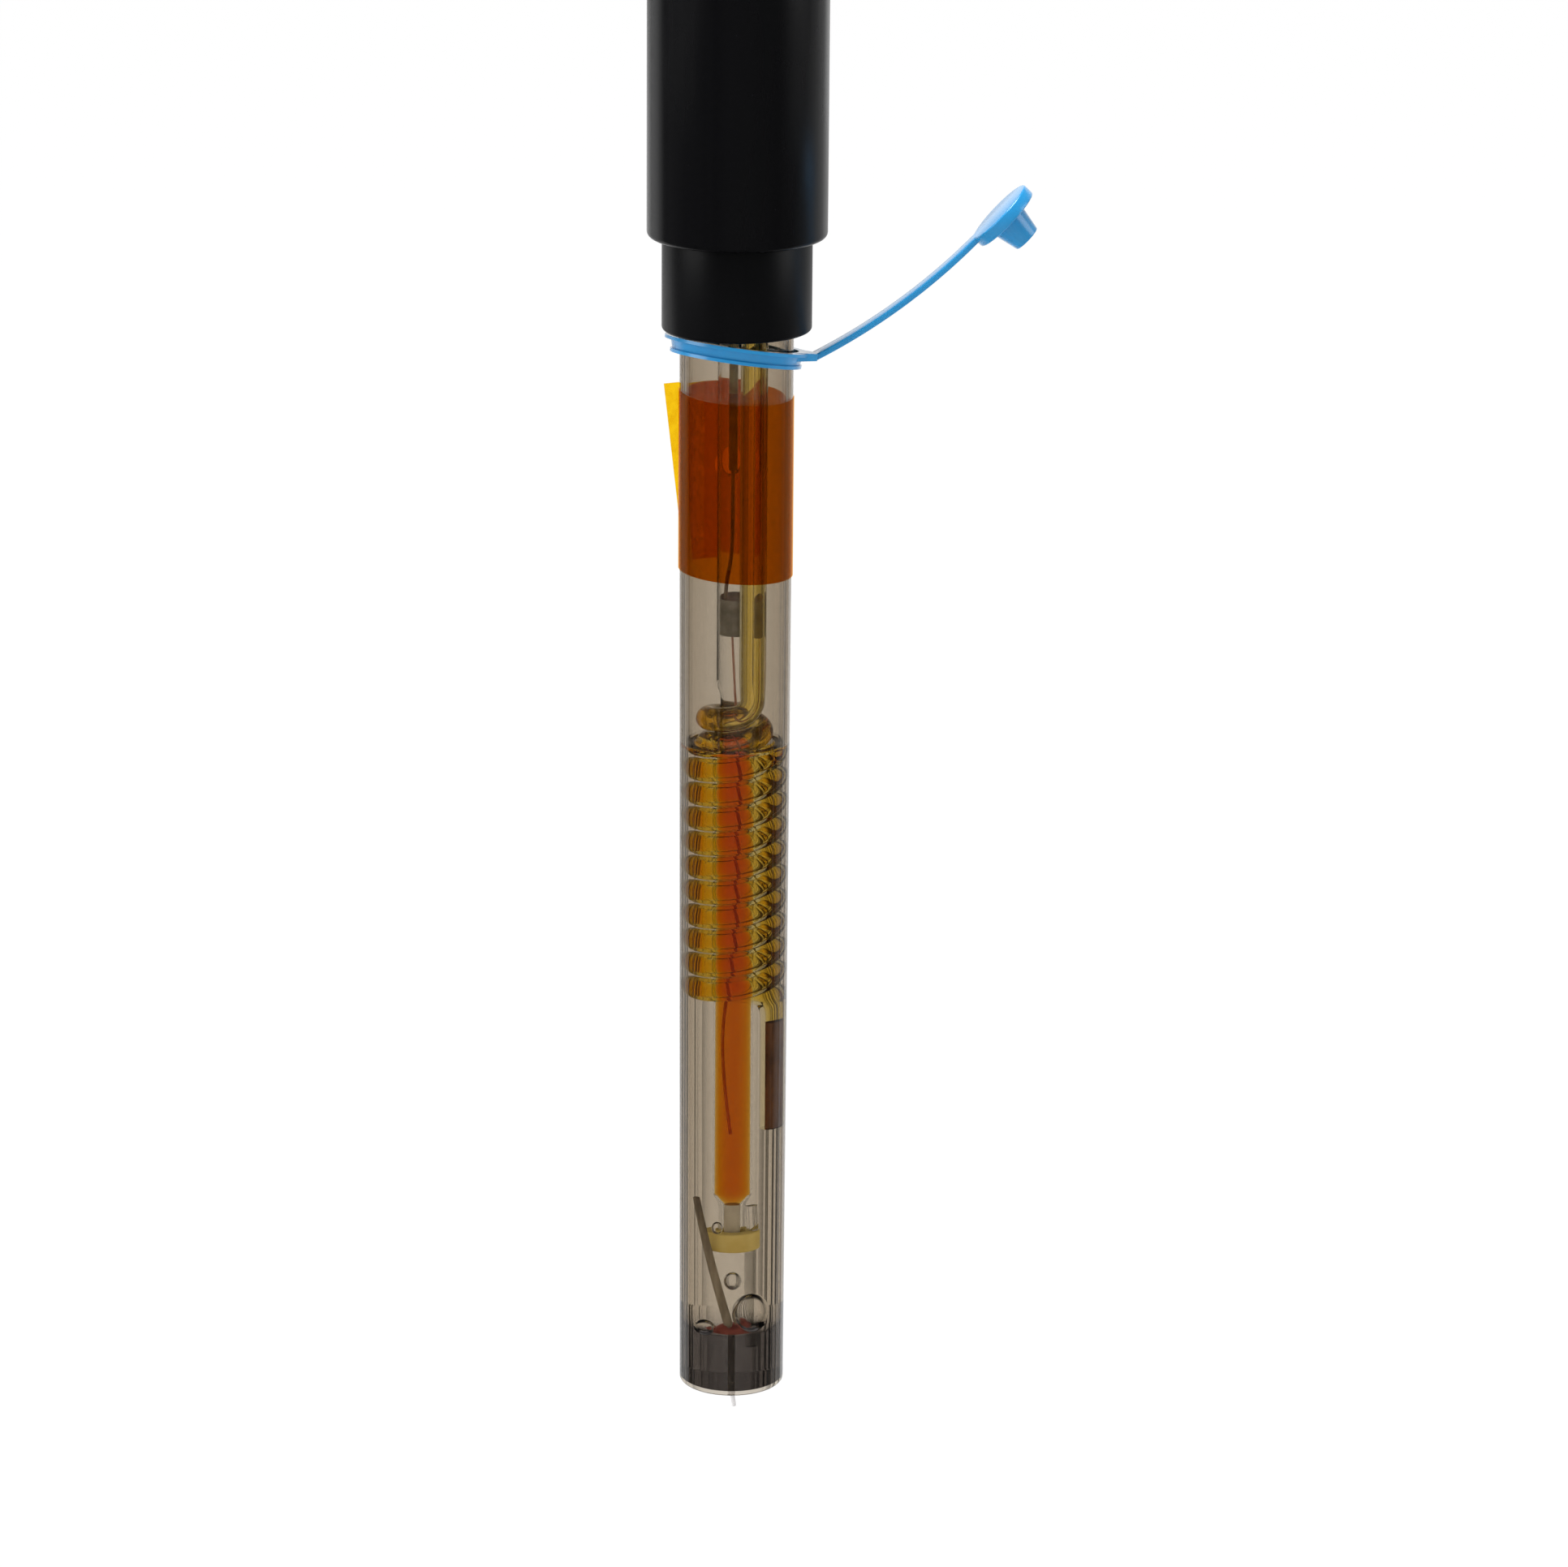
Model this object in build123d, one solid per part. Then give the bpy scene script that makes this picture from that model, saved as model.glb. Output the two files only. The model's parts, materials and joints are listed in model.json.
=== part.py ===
from build123d import *
import os
from math import atan2, cos, degrees, pi, radians, sin, sqrt

# A reference electrode with a clear body, as used in pH measurement. It hangs upright.
# The origin is the centre of the collar's underside. +Z runs up through the cap to the
# cable inlet, and the liquid junction is at the tip, at the bottom.
# All lengths are in millimetres.

# Body tube, moulded with a slight draft towards the tip
BODY_LENGTH = 120.0
BODY_TOP_D = 12.2
BODY_TIP_D = 11.6
BODY_WALL = 0.75
BODY_SOCKET_DEPTH = 8.0
BODY_EDGE_RADIUS = 0.5

# Refill hole in the back of the body, and the tapered plug that fits it
HOLE_D = 3.3
HOLE_DROP = 15.9
HOLE_AZIMUTH = 99.0

# Collar under the cap
COLLAR_D = 16.0
COLLAR_HEIGHT = 10.0
COLLAR_THROAT_D = 10.2
COLLAR_SPIGOT_LENGTH = 12.0
COLLAR_EDGE_RADIUS = 0.35

# Cap
CAP_D = 19.2
CAP_WALL = 1.9
CAP_HEIGHT = 38.0
CAP_ROOF = 2.4
CAP_TOP_RADIUS = 2.2
CAP_MOUTH_RADIUS = 0.6
SPIGOT_FIT = 0.05

# Seal ring in its groove on the collar's spigot
SEAL_HEIGHT = 1.6
SEAL_DEPTH = 1.1
SEAL_LIFT = 4.0
SEAL_CORNER = 0.5

# Rubber grommet that lines the cable inlet
INLET_D = 6.4
CABLE_BORE_D = 4.2
GROMMET_LIP = 1.1
GROMMET_TOP_LIP_HEIGHT = 1.2
GROMMET_INNER_LIP_HEIGHT = 0.9

# Tape round the refill hole
TAPE_WIDTH = 19.5
TAPE_DROP = 7.0
TAPE_THICKNESS = 0.08
TAPE_TILT = 3.7
TAPE_START = 70.0
TAPE_LEAVES = 128.0
TAPE_FLAP_TOP = 4.9
TAPE_FLAP_BOTTOM = 2.2

# Elastomer ring with its strap, disc and refill plug, moulded as one piece
RING_CLEARANCE = 0.45
RING_WEB = 0.32
RING_FLARE = 0.3
RING_HEIGHT = 1.74
RING_LIP = 0.35
RING_TOP_LIP_REACH = 0.65
RING_LOW_LIP_REACH = 0.2
RING_BELOW_COLLAR = 0.1
RING_SIDE_TILT = 7.5
RING_FRONT_TILT = 8.2
TAB_REACH = 8.6
TAB_WIDTH = 8.4
TAB_ROOT_LIFT = 0.3
TAB_TIP_LIFT = 0.6
TAB_MARGIN = 0.1
STRAP_LENGTH = 21.7
STRAP_WIDTH = 2.4
STRAP_THICKNESS = 0.66
STRAP_CORNER = 0.16
STRAP_START_ANGLE = 28.0
STRAP_END_ANGLE = 46.5
STRAP_OVER_DISC = 0.45
DISC_D = 7.75
DISC_THICKNESS = 1.3
DISC_EDGE = 0.15
PLUG_ROOT_D = 4.3
PLUG_TIP_D = 3.05
PLUG_LENGTH = 2.95

# Glass stem on the axis: a wide upper part, a narrower part in the coil, a drawn neck
STEM_TOP_D = 3.96
STEM_D = 3.1
NECK_D = 2.1
STEM_WALL = 0.22
DRAWN_WALL = 0.12
NECK_WALL = 0.4
NECK_FOOT = 16.2
NECK_LENGTH = 5.3
STEM_SHOULDER = 1.2
STEM_WIDENS_ABOVE_COIL = 0.6
STEM_ABOVE_SOCKET = 6.0

# Grey seal in the stem, and what it holds
STEM_SEAL_LENGTH = 4.0
STEM_SEAL_ABOVE_COIL = 8.8
LEAD_D = 0.42
LEAD_BARE_LENGTH = 14.0
LEAD_SIDE = 0.3
LEAD_ENTRY_SIDE = 1.1
LEAD_SLEEVE_D = 0.95
LEAD_BURIED = 2.4
WIRE_D = 0.26
WIRE_BURIED = 1.8
WIRE_ABOVE_SHOULDER = 7.05
SOLUTION_BELOW_COIL_TOP = 1.4

# Glass coil round the stem: riser, turns and a straight tail
COIL_RADIUS = 2.9
COIL_TUBE_D = 2.6
COIL_BORE_D = 1.6
COIL_PITCH = 2.78
COIL_FULL_TURNS = 11
COIL_START_AZIMUTH = 33.0
COIL_END_AZIMUTH = 270.0
COIL_FOOT = 45.4
COIL_BEND_RADIUS = 2.2
TAIL_LENGTH = 12.85
RISER_D = 2.8
RISER_TAPER = 2.5
RISER_ABOVE_SOCKET = 4.0
FILM = 0.05
COIL_JUNCTION_LENGTH = 12.3

# Junction ring, bridge capillary and support rod round the stem's foot
JUNCTION_RING_D = 4.4
JUNCTION_RING_HEIGHT = 2.2
CAPILLARY_D = 0.95
CAPILLARY_BORE_D = 0.45
CAPILLARY_LENGTH = 2.9
CAPILLARY_LEAN = 2.0
SUPPORT_ROD_D = 0.95
SUPPORT_ROD_OFFSET = 1.47

# Cast plug in the tip, with the wick that makes the liquid junction
TIP_PLUG_LIFT = 0.5
TIP_PLUG_HEIGHT = 5.9
TIP_PLUG_MENISCUS = 1.7
TIP_BEAD_D = 3.3
TIP_BEAD_HEIGHT = 1.1
WICK_D = 0.5
WICK_OUT = 3.4
WICK_OUT_BEND = 0.35
STRAND_D = 0.8
STRAND_FOOT = (-0.25, -1.1)
STRAND_TOP = (-3.5, -2.75)
STRAND_HEIGHT = 15.2

# Spacer that locates the stem and the riser in the top of the body
SPACER_HEIGHT = 3.0
SPACER_LIFT = 2.5
SPACER_FIT = 0.1
SPACER_KEY_WIDTH = 1.6

# Inside the cap
POTTING_ABOVE_SPIGOT = 4.0
SPLICE_D = 1.9
SPLICE_LENGTH = 7.0
SPLICE_BURIED = 3.0
SPLICE_CORE_D = 1.1
SPLICE_CORE_DEPTH = 3.2

# Levels and radii that follow from the sizes above
tip_z = -BODY_LENGTH
body_top_r = BODY_TOP_D / 2
body_tip_r = BODY_TIP_D / 2
spigot_top = COLLAR_HEIGHT + COLLAR_SPIGOT_LENGTH
stem_top_z = BODY_SOCKET_DEPTH + STEM_ABOVE_SOCKET
riser_top_z = BODY_SOCKET_DEPTH + RISER_ABOVE_SOCKET
cap_bore_r = CAP_D / 2 - CAP_WALL
spigot_r = cap_bore_r - SPIGOT_FIT
cap_top = COLLAR_HEIGHT + CAP_HEIGHT
potting_top = spigot_top + POTTING_ABOVE_SPIGOT
stem_top_bore = STEM_TOP_D - 2 * STEM_WALL
stem_bore = STEM_D - 2 * DRAWN_WALL
neck_bore = NECK_D - 2 * NECK_WALL
neck_foot_z = tip_z + NECK_FOOT
neck_top_z = neck_foot_z + NECK_LENGTH
stem_foot_z = neck_top_z + STEM_SHOULDER
coil_foot_z = tip_z + COIL_FOOT
coil_turns = COIL_FULL_TURNS + (COIL_END_AZIMUTH - COIL_START_AZIMUTH) / 360
coil_top_z = coil_foot_z + COIL_PITCH * coil_turns
stem_widens_z = coil_top_z + COIL_TUBE_D / 2 + STEM_WIDENS_ABOVE_COIL
seal_foot_z = coil_top_z + STEM_SEAL_ABOVE_COIL
seal_head_z = seal_foot_z + STEM_SEAL_LENGTH
solution_top_z = coil_top_z - SOLUTION_BELOW_COIL_TOP
plug_foot_z = tip_z + TIP_PLUG_LIFT
plug_head_z = plug_foot_z + TIP_PLUG_HEIGHT
splice_foot_z = potting_top - SPLICE_BURIED
sleeve_foot_z = seal_head_z + LEAD_BARE_LENGTH


def body_radius(z):
    """Outer radius of the drafted body tube at a height."""
    share = max(0.0, -z) / BODY_LENGTH
    return body_top_r - share * (body_top_r - body_tip_r)


def rod(diameter, low, high, x=0.0, y=0.0):
    """Upright round bar between two heights."""
    bar = Cylinder(diameter / 2, high - low, align=(Align.CENTER, Align.CENTER, Align.MIN))
    return Pos(x, y, low) * bar


def pipe(outer, bore, low, high, x=0.0, y=0.0):
    """Upright round tube between two heights."""
    return rod(outer, low, high, x, y) - rod(bore, low, high, x, y)


def turned(*points):
    """Solid turned about the Z axis from a closed outline of radius and height."""
    outline = make_face(Plane.XZ * Polyline(*points, close=True))
    return revolve(outline, Axis.Z)


def round_bar(diameter, path):
    """Round bar that follows a path."""
    return sweep(Plane(origin=path @ 0, z_dir=path % 0) * Circle(diameter / 2), path=path)


def circles_at(solid, z):
    """The edges of a solid that lie at one height."""
    return solid.edges().filter_by(lambda edge: abs(edge.center().Z - z) < 1e-4)


# Cap, collar and what joins them

def make_cap_shell():
    """Deep moulded cap, open below, with a round cable inlet in its roof."""
    shell = rod(CAP_D, COLLAR_HEIGHT, cap_top)
    shell = fillet(circles_at(shell, cap_top), CAP_TOP_RADIUS)
    shell = fillet(circles_at(shell, COLLAR_HEIGHT), CAP_MOUTH_RADIUS)
    shell -= rod(2 * cap_bore_r, COLLAR_HEIGHT, cap_top - CAP_ROOF)
    return shell - rod(INLET_D, COLLAR_HEIGHT, cap_top)


def make_cable_grommet():
    """Rubber lining of the inlet, with a lip on both sides of the roof."""
    neck_r = INLET_D / 2
    lip_r = neck_r + GROMMET_LIP
    bore_r = CABLE_BORE_D / 2
    roof_low = cap_top - CAP_ROOF
    top = cap_top + GROMMET_TOP_LIP_HEIGHT
    outline = [
        (bore_r, roof_low - GROMMET_INNER_LIP_HEIGHT),
        (lip_r, roof_low - GROMMET_INNER_LIP_HEIGHT),
        (lip_r, roof_low),
        (neck_r, roof_low),
        (neck_r, cap_top),
        (lip_r, cap_top),
        (lip_r - GROMMET_LIP / 2, top),
        (bore_r, top),
    ]
    return turned(*outline)


def make_collar():
    """Collar with the body's socket below and a spigot for the cap above."""
    block = rod(COLLAR_D, 0, COLLAR_HEIGHT)
    block = fillet(circles_at(block, 0), COLLAR_EDGE_RADIUS)
    block += rod(2 * spigot_r, COLLAR_HEIGHT, spigot_top)
    groove_low = COLLAR_HEIGHT + SEAL_LIFT
    groove = pipe(CAP_D, 2 * (cap_bore_r - SEAL_DEPTH), groove_low, groove_low + SEAL_HEIGHT)
    block -= groove
    block -= rod(BODY_TOP_D, 0, BODY_SOCKET_DEPTH)
    return block - rod(COLLAR_THROAT_D, 0, spigot_top)


def make_collar_seal():
    """Rubber ring, squeezed to the shape of its groove."""
    low = COLLAR_HEIGHT + SEAL_LIFT
    ring = pipe(2 * cap_bore_r, 2 * (cap_bore_r - SEAL_DEPTH), low, low + SEAL_HEIGHT)
    return fillet(ring.edges().filter_by(GeomType.CIRCLE), SEAL_CORNER)


def make_cap_potting():
    """Resin that fills the collar's throat and the bottom of the cap."""
    resin = rod(COLLAR_THROAT_D, BODY_SOCKET_DEPTH, spigot_top)
    resin += rod(2 * cap_bore_r, spigot_top, potting_top)
    resin -= rod(STEM_TOP_D, BODY_SOCKET_DEPTH, stem_top_z)
    resin -= rod(RISER_D, BODY_SOCKET_DEPTH, riser_top_z, riser_x, riser_y)
    resin -= rod(LEAD_SLEEVE_D, BODY_SOCKET_DEPTH, splice_foot_z, -LEAD_SIDE)
    return resin - rod(SPLICE_D, splice_foot_z, potting_top, -LEAD_SIDE)


def make_splice_sleeve():
    """Crimp barrel on the end of the lead, with an open socket for the cable's core."""
    high = splice_foot_z + SPLICE_LENGTH
    barrel = pipe(SPLICE_D, LEAD_D, splice_foot_z, high, -LEAD_SIDE)
    return barrel - rod(SPLICE_CORE_D, high - SPLICE_CORE_DEPTH, high, -LEAD_SIDE)


# Body tube, tape and refill plug

def make_body_tube():
    """Thin clear tube with a drafted bore and the refill hole through its back."""
    tube = turned(
        (body_tip_r - BODY_WALL, tip_z),
        (body_tip_r, tip_z),
        (body_top_r, 0),
        (body_top_r, BODY_SOCKET_DEPTH),
        (body_top_r - BODY_WALL, BODY_SOCKET_DEPTH),
        (body_top_r - BODY_WALL, 0),
    )
    rim = circles_at(tube, tip_z).sort_by(SortBy.LENGTH)[-1]
    tube = fillet(rim, min(BODY_EDGE_RADIUS, 0.7 * BODY_WALL))
    drill = Pos(0, 0, -HOLE_DROP) * Rot(0, 0, HOLE_AZIMUTH) * Rot(0, 90, 0)
    cutter = Cylinder(HOLE_D / 2, BODY_TOP_D, align=(Align.CENTER, Align.CENTER, Align.MIN))
    return tube - drill * cutter


def make_fill_hole_tape():
    """One wrap of film that laps over itself at the back and ends in a loose flap."""
    film_r = body_radius(-TAPE_DROP)
    lap_r = film_r + TAPE_THICKNESS
    over_r = lap_r + TAPE_THICKNESS
    span = TAPE_LEAVES - TAPE_START
    outside = CenterArc((0, 0), over_r, start_angle=TAPE_START, arc_size=span)
    inside = CenterArc((0, 0), lap_r, start_angle=TAPE_START, arc_size=span)
    over = make_face([outside, Line(outside @ 0, inside @ 0), inside, Line(outside @ 1, inside @ 1)])
    margin = TAPE_WIDTH / 4
    height = TAPE_WIDTH + 2 * margin
    band = pipe(2 * lap_r, 2 * film_r, 0, height) + extrude(over, height, dir=(0, 0, 1))
    # the end of the tape is cut askew, so that the flap narrows downwards
    middle = (outside @ 1 + inside @ 1) / 2
    leaves = Vector(middle.X, middle.Y, margin + TAPE_WIDTH)
    askew = (TAPE_FLAP_TOP - TAPE_FLAP_BOTTOM) / TAPE_WIDTH
    flap_plane = Plane(origin=leaves, x_dir=outside % 1, z_dir=(leaves.X, leaves.Y, 0))
    flap = make_face(flap_plane * Polyline(
        (0, margin),
        (TAPE_FLAP_TOP + askew * margin, margin),
        (TAPE_FLAP_BOTTOM - askew * margin, -TAPE_WIDTH - margin),
        (0, -TAPE_WIDTH - margin),
        close=True,
    ))
    stock = band + extrude(flap, TAPE_THICKNESS / 2, both=True)
    spread = 2 * (BODY_TOP_D + TAPE_FLAP_TOP)
    window = Pos(0, 0, margin + TAPE_WIDTH / 2) * Rot(0, TAPE_TILT, 0) * Box(spread, spread, TAPE_WIDTH)
    return Pos(0, 0, -TAPE_DROP - TAPE_WIDTH - margin) * (stock & window)


def make_refill_plug():
    """Ring round the body, with a curved strap up to a disc that carries the plug."""
    bore_r = body_top_r + RING_CLEARANCE
    half = RING_HEIGHT / 2
    web_low = bore_r + RING_WEB
    web_high = web_low + RING_FLARE
    ring = turned(
        (bore_r, -half),
        (web_low + RING_LOW_LIP_REACH, -half),
        (web_low + RING_LOW_LIP_REACH, RING_LIP - half),
        (web_low, RING_LIP - half),
        (web_high, half - RING_LIP),
        (web_high + RING_TOP_LIP_REACH, half - RING_LIP),
        (web_high + RING_TOP_LIP_REACH, half),
        (bore_r, half),
    )
    root_plane = Plane(origin=(0.7 * bore_r, 0, TAB_ROOT_LIFT), z_dir=(1, 0, 0))
    tip_plane = Plane(origin=(TAB_REACH, 0, TAB_TIP_LIFT), z_dir=(1, 0, 0))
    tab = loft([
        root_plane * Rectangle(RING_HEIGHT - 2 * RING_LIP, TAB_WIDTH),
        tip_plane * Rectangle(STRAP_THICKNESS + TAB_MARGIN, STRAP_WIDTH + 2 * TAB_MARGIN),
    ])
    tab -= rod(2 * bore_r, -RING_HEIGHT, RING_HEIGHT)
    # the ring hangs askew, its strap side low and its front high, just clear of the collar
    askew = Rot(-RING_FRONT_TILT, RING_SIDE_TILT, 0)
    upright = cos(radians(RING_FRONT_TILT)) * cos(radians(RING_SIDE_TILT))
    highest = half * upright + (web_high + RING_TOP_LIP_REACH) * sqrt(1 - upright**2)
    seat = Pos(0, 0, -RING_BELOW_COLLAR - highest) * askew
    moulding = seat * (ring + tab)

    root = (seat * Pos(TAB_REACH - STRAP_THICKNESS / 2, 0, TAB_TIP_LIFT)).position
    start = radians(STRAP_START_ANGLE)
    sweep_angle = STRAP_END_ANGLE - STRAP_START_ANGLE
    bow = JernArc(
        start=(root.X, root.Z),
        tangent=(cos(start), sin(start)),
        radius=STRAP_LENGTH / radians(sweep_angle),
        arc_size=sweep_angle,
    )
    bow = Plane.XZ * bow
    section = Plane(origin=bow @ 0, x_dir=(0, 1, 0), z_dir=bow % 0)
    moulding += sweep(section * RectangleRounded(STRAP_WIDTH, STRAP_THICKNESS, STRAP_CORNER), path=bow)

    reach = bow % 1
    face = Plane(origin=bow @ 1, x_dir=reach, z_dir=(-reach.Z, 0, reach.X))
    top = STRAP_THICKNESS / 2
    disc = Cylinder(DISC_D / 2, DISC_THICKNESS, align=(Align.CENTER, Align.CENTER, Align.MAX))
    disc = fillet(disc.edges().filter_by(GeomType.CIRCLE), DISC_EDGE)
    hanging = (Align.CENTER, Align.CENTER, Align.MAX)
    stopper = Cone(PLUG_TIP_D / 2, PLUG_ROOT_D / 2, PLUG_LENGTH, align=hanging)
    middle = DISC_D / 2 - STRAP_OVER_DISC
    head = Pos(middle, 0, top) * disc + Pos(middle, 0, top - DISC_THICKNESS) * stopper
    return moulding + face * head


# Stem with its filling and wires

def make_stem_tube():
    """Blown glass stem: wide in the head, narrow in the coil, drawn to a neck."""
    top_r = STEM_TOP_D / 2
    stem_r = STEM_D / 2
    neck_r = NECK_D / 2
    widened = stem_widens_z + STEM_SHOULDER
    return turned(
        (neck_bore / 2, neck_foot_z),
        (neck_r, neck_foot_z),
        (neck_r, neck_top_z),
        (stem_r, stem_foot_z),
        (stem_r, stem_widens_z),
        (top_r, widened),
        (top_r, stem_top_z),
        (top_r - STEM_WALL, stem_top_z),
        (top_r - STEM_WALL, widened),
        (stem_bore / 2, stem_widens_z),
        (stem_bore / 2, stem_foot_z),
        (neck_bore / 2, neck_top_z),
    )


def make_neck_plug():
    """Porous plug, the bore's own size, in the stem's neck."""
    return rod(neck_bore, neck_foot_z, neck_top_z)


def wire_path():
    """Middle of the platinum wire, from inside the seal down to its free end."""
    room = stem_bore / 2 - WIRE_D / 2
    head = seal_foot_z + WIRE_BURIED
    length = head - (stem_foot_z + WIRE_ABOVE_SHOULDER)
    # share of the length down from the seal, and share of the room to the side
    stations = [(0, -0.25), (0.05, -0.25), (0.17, 0.12), (0.3, 0.38), (0.48, 0.14)]
    stations += [(0.62, 0.22), (0.73, -0.45), (0.84, -0.84), (1.0, -0.12)]
    points = [(side * room, 0, head - share * length) for share, side in stations]
    return FilletPolyline(*points, radius=6.0)


def lead_points():
    """Corners of the lead: into the seal at one side, then up the stem's middle."""
    low = seal_head_z - LEAD_BURIED
    return [
        (-LEAD_ENTRY_SIDE, 0, low),
        (-LEAD_ENTRY_SIDE, 0, seal_head_z + 0.8),
        (-LEAD_SIDE, 0, seal_head_z + 0.35 * LEAD_BARE_LENGTH),
        (-LEAD_SIDE, 0, splice_foot_z + SPLICE_LENGTH - SPLICE_CORE_DEPTH),
    ]


def make_lead_wire():
    """Bare end of the lead, its run through the sleeve, and its end in the splice."""
    return round_bar(LEAD_D, FilletPolyline(*lead_points(), radius=2.0))


def make_lead_sleeve():
    """Insulation on the lead, from a little above the seal up to the splice."""
    return pipe(LEAD_SLEEVE_D, LEAD_D, sleeve_foot_z, splice_foot_z, -LEAD_SIDE)


def make_platinum_wire():
    """Fine wire that hangs in the filling and bows to one side near its end."""
    return round_bar(WIRE_D, wire_path())


def make_stem_seal():
    """Grey seal with a dished head, cast round the ends of both wires."""
    r = stem_top_bore / 2
    dish = min(0.35 * r, STEM_SEAL_LENGTH / 4)
    outline = Plane.XZ * (
        Polyline((0, seal_head_z - dish), (0, seal_foot_z), (r, seal_foot_z), (r, seal_head_z))
        + ThreePointArc((r, seal_head_z), (r / 2, seal_head_z - 0.78 * dish), (0, seal_head_z - dish))
    )
    body = revolve(make_face(outline), Axis.Z)
    lead_end = rod(LEAD_D, seal_head_z - LEAD_BURIED, seal_head_z + 0.5, -LEAD_ENTRY_SIDE)
    return body - lead_end - make_platinum_wire()


def make_redox_solution():
    """Orange filling of the stem from the neck up to the top of the coil."""
    r = stem_bore / 2
    column = turned(
        (0, neck_top_z),
        (neck_bore / 2, neck_top_z),
        (r, stem_foot_z),
        (r, solution_top_z),
        (0, solution_top_z),
    )
    return column - make_platinum_wire()


# Coil

def coil_ends():
    """Lower and upper end of the turns, with the rising direction at each."""
    helix = Pos(0, 0, coil_foot_z) * Rot(0, 0, COIL_START_AZIMUTH) * Helix(
        pitch=COIL_PITCH, height=COIL_PITCH * coil_turns, radius=COIL_RADIUS
    )
    return helix, helix @ 0, helix @ 1, helix % 0, helix % 1


def quarter(point, direction, sign):
    """Where a bend from the turns into the vertical ends, above or below a point."""
    climb = atan2(COIL_PITCH, 2 * pi * COIL_RADIUS)
    level = Vector(direction.X, direction.Y, 0).normalized()
    along = level * (sign * COIL_BEND_RADIUS * (1 - sin(climb)))
    return point + along + Vector(0, 0, sign * COIL_BEND_RADIUS * cos(climb))


helix, turns_foot, turns_head, foot_rise, head_rise = coil_ends()
tail_top = quarter(turns_foot, foot_rise, -1)
riser_foot = quarter(turns_head, head_rise, 1)
riser_x = riser_foot.X
riser_y = riser_foot.Y
tail_foot_z = tail_top.Z - TAIL_LENGTH
junction_top_z = tail_foot_z + COIL_JUNCTION_LENGTH


def coil_path(low_z, high_z):
    """Middle of the coil's tube between a height in the tail and one in the riser."""
    low_bend = TangentArc(tail_top, turns_foot, tangent=(0, 0, 1))
    high_bend = TangentArc(turns_head, riser_foot, tangent=head_rise)
    tail = Line((tail_top.X, tail_top.Y, low_z), tail_top)
    edges = [tail.edge(), low_bend.edge(), helix.edge(), high_bend.edge()]
    if high_z > riser_foot.Z:
        edges.append(Line(riser_foot, (riser_x, riser_y, high_z)).edge())
    return Wire(edges)


def make_coil_tube():
    """Glass tube: a tail, the turns, and a slightly thicker riser up into the collar."""
    path = coil_path(tail_foot_z, riser_foot.Z)
    ring = Plane(origin=path @ 0, z_dir=path % 0) * (Circle(COIL_TUBE_D / 2) - Circle(COIL_BORE_D / 2))
    taper_top = riser_foot.Z + RISER_TAPER
    taper = Pos(riser_x, riser_y, riser_foot.Z) * Cone(
        COIL_TUBE_D / 2, RISER_D / 2, RISER_TAPER, align=(Align.CENTER, Align.CENTER, Align.MIN)
    )
    taper -= rod(COIL_BORE_D, riser_foot.Z, taper_top, riser_x, riser_y)
    riser = pipe(RISER_D, COIL_BORE_D, taper_top, riser_top_z, riser_x, riser_y)
    return sweep(ring, path=path) + taper + riser


def make_coil_solution():
    """Amber filling of the coil, from the junction in its tail up into the riser."""
    return round_bar(COIL_BORE_D - 2 * FILM, coil_path(junction_top_z, SPACER_LIFT + SPACER_HEIGHT))


def make_coil_junction():
    """Brown porous rod that closes the foot of the coil's tail."""
    return rod(COIL_BORE_D - 2 * FILM, tail_foot_z, junction_top_z, tail_top.X, tail_top.Y)


# Foot of the stem, and the tip

def make_junction_ring():
    """Ceramic ring on the foot of the neck."""
    return pipe(JUNCTION_RING_D, NECK_D, neck_foot_z, neck_foot_z + JUNCTION_RING_HEIGHT)


def make_bridge_capillary():
    """Short glass capillary that stands on the ring and leans on the neck."""
    foot = Pos(NECK_D / 2 + 0.62 * CAPILLARY_D, 0, neck_foot_z + JUNCTION_RING_HEIGHT)
    stock = pipe(CAPILLARY_D, CAPILLARY_BORE_D, -CAPILLARY_D, CAPILLARY_LENGTH)
    leaning = foot * Rot(0, -CAPILLARY_LEAN, 0) * stock
    return leaning - rod(JUNCTION_RING_D * 2, neck_foot_z - CAPILLARY_D, neck_foot_z + JUNCTION_RING_HEIGHT)


def make_support_rod():
    """Glass rod that stands in the tip's plug and carries the junction ring."""
    return rod(SUPPORT_ROD_D, plug_head_z - TIP_PLUG_MENISCUS, neck_foot_z, SUPPORT_ROD_OFFSET)


def make_wick():
    """Fibre wick: out of the tip, up through the plug, then a thicker leaning strand."""
    knee_z = plug_head_z + 0.3 * TIP_BEAD_HEIGHT
    thin = FilletPolyline(
        (WICK_OUT_BEND, 0, tip_z - WICK_OUT),
        (0, 0, tip_z - 0.25 * WICK_OUT),
        (0, 0, knee_z),
        radius=3.0,
    )
    knee = Vector(0, 0, knee_z)
    foot = Vector(*STRAND_FOOT, plug_head_z + TIP_BEAD_HEIGHT)
    top = Vector(*STRAND_TOP, foot.Z + STRAND_HEIGHT)
    turn = round_bar(WICK_D, Line(knee, foot)) + Pos(*knee) * Sphere(WICK_D / 2)
    strand = round_bar(STRAND_D, Line(foot, top)) + Pos(*foot) * Sphere(STRAND_D / 2)
    return round_bar(WICK_D, thin) + turn + strand


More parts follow.
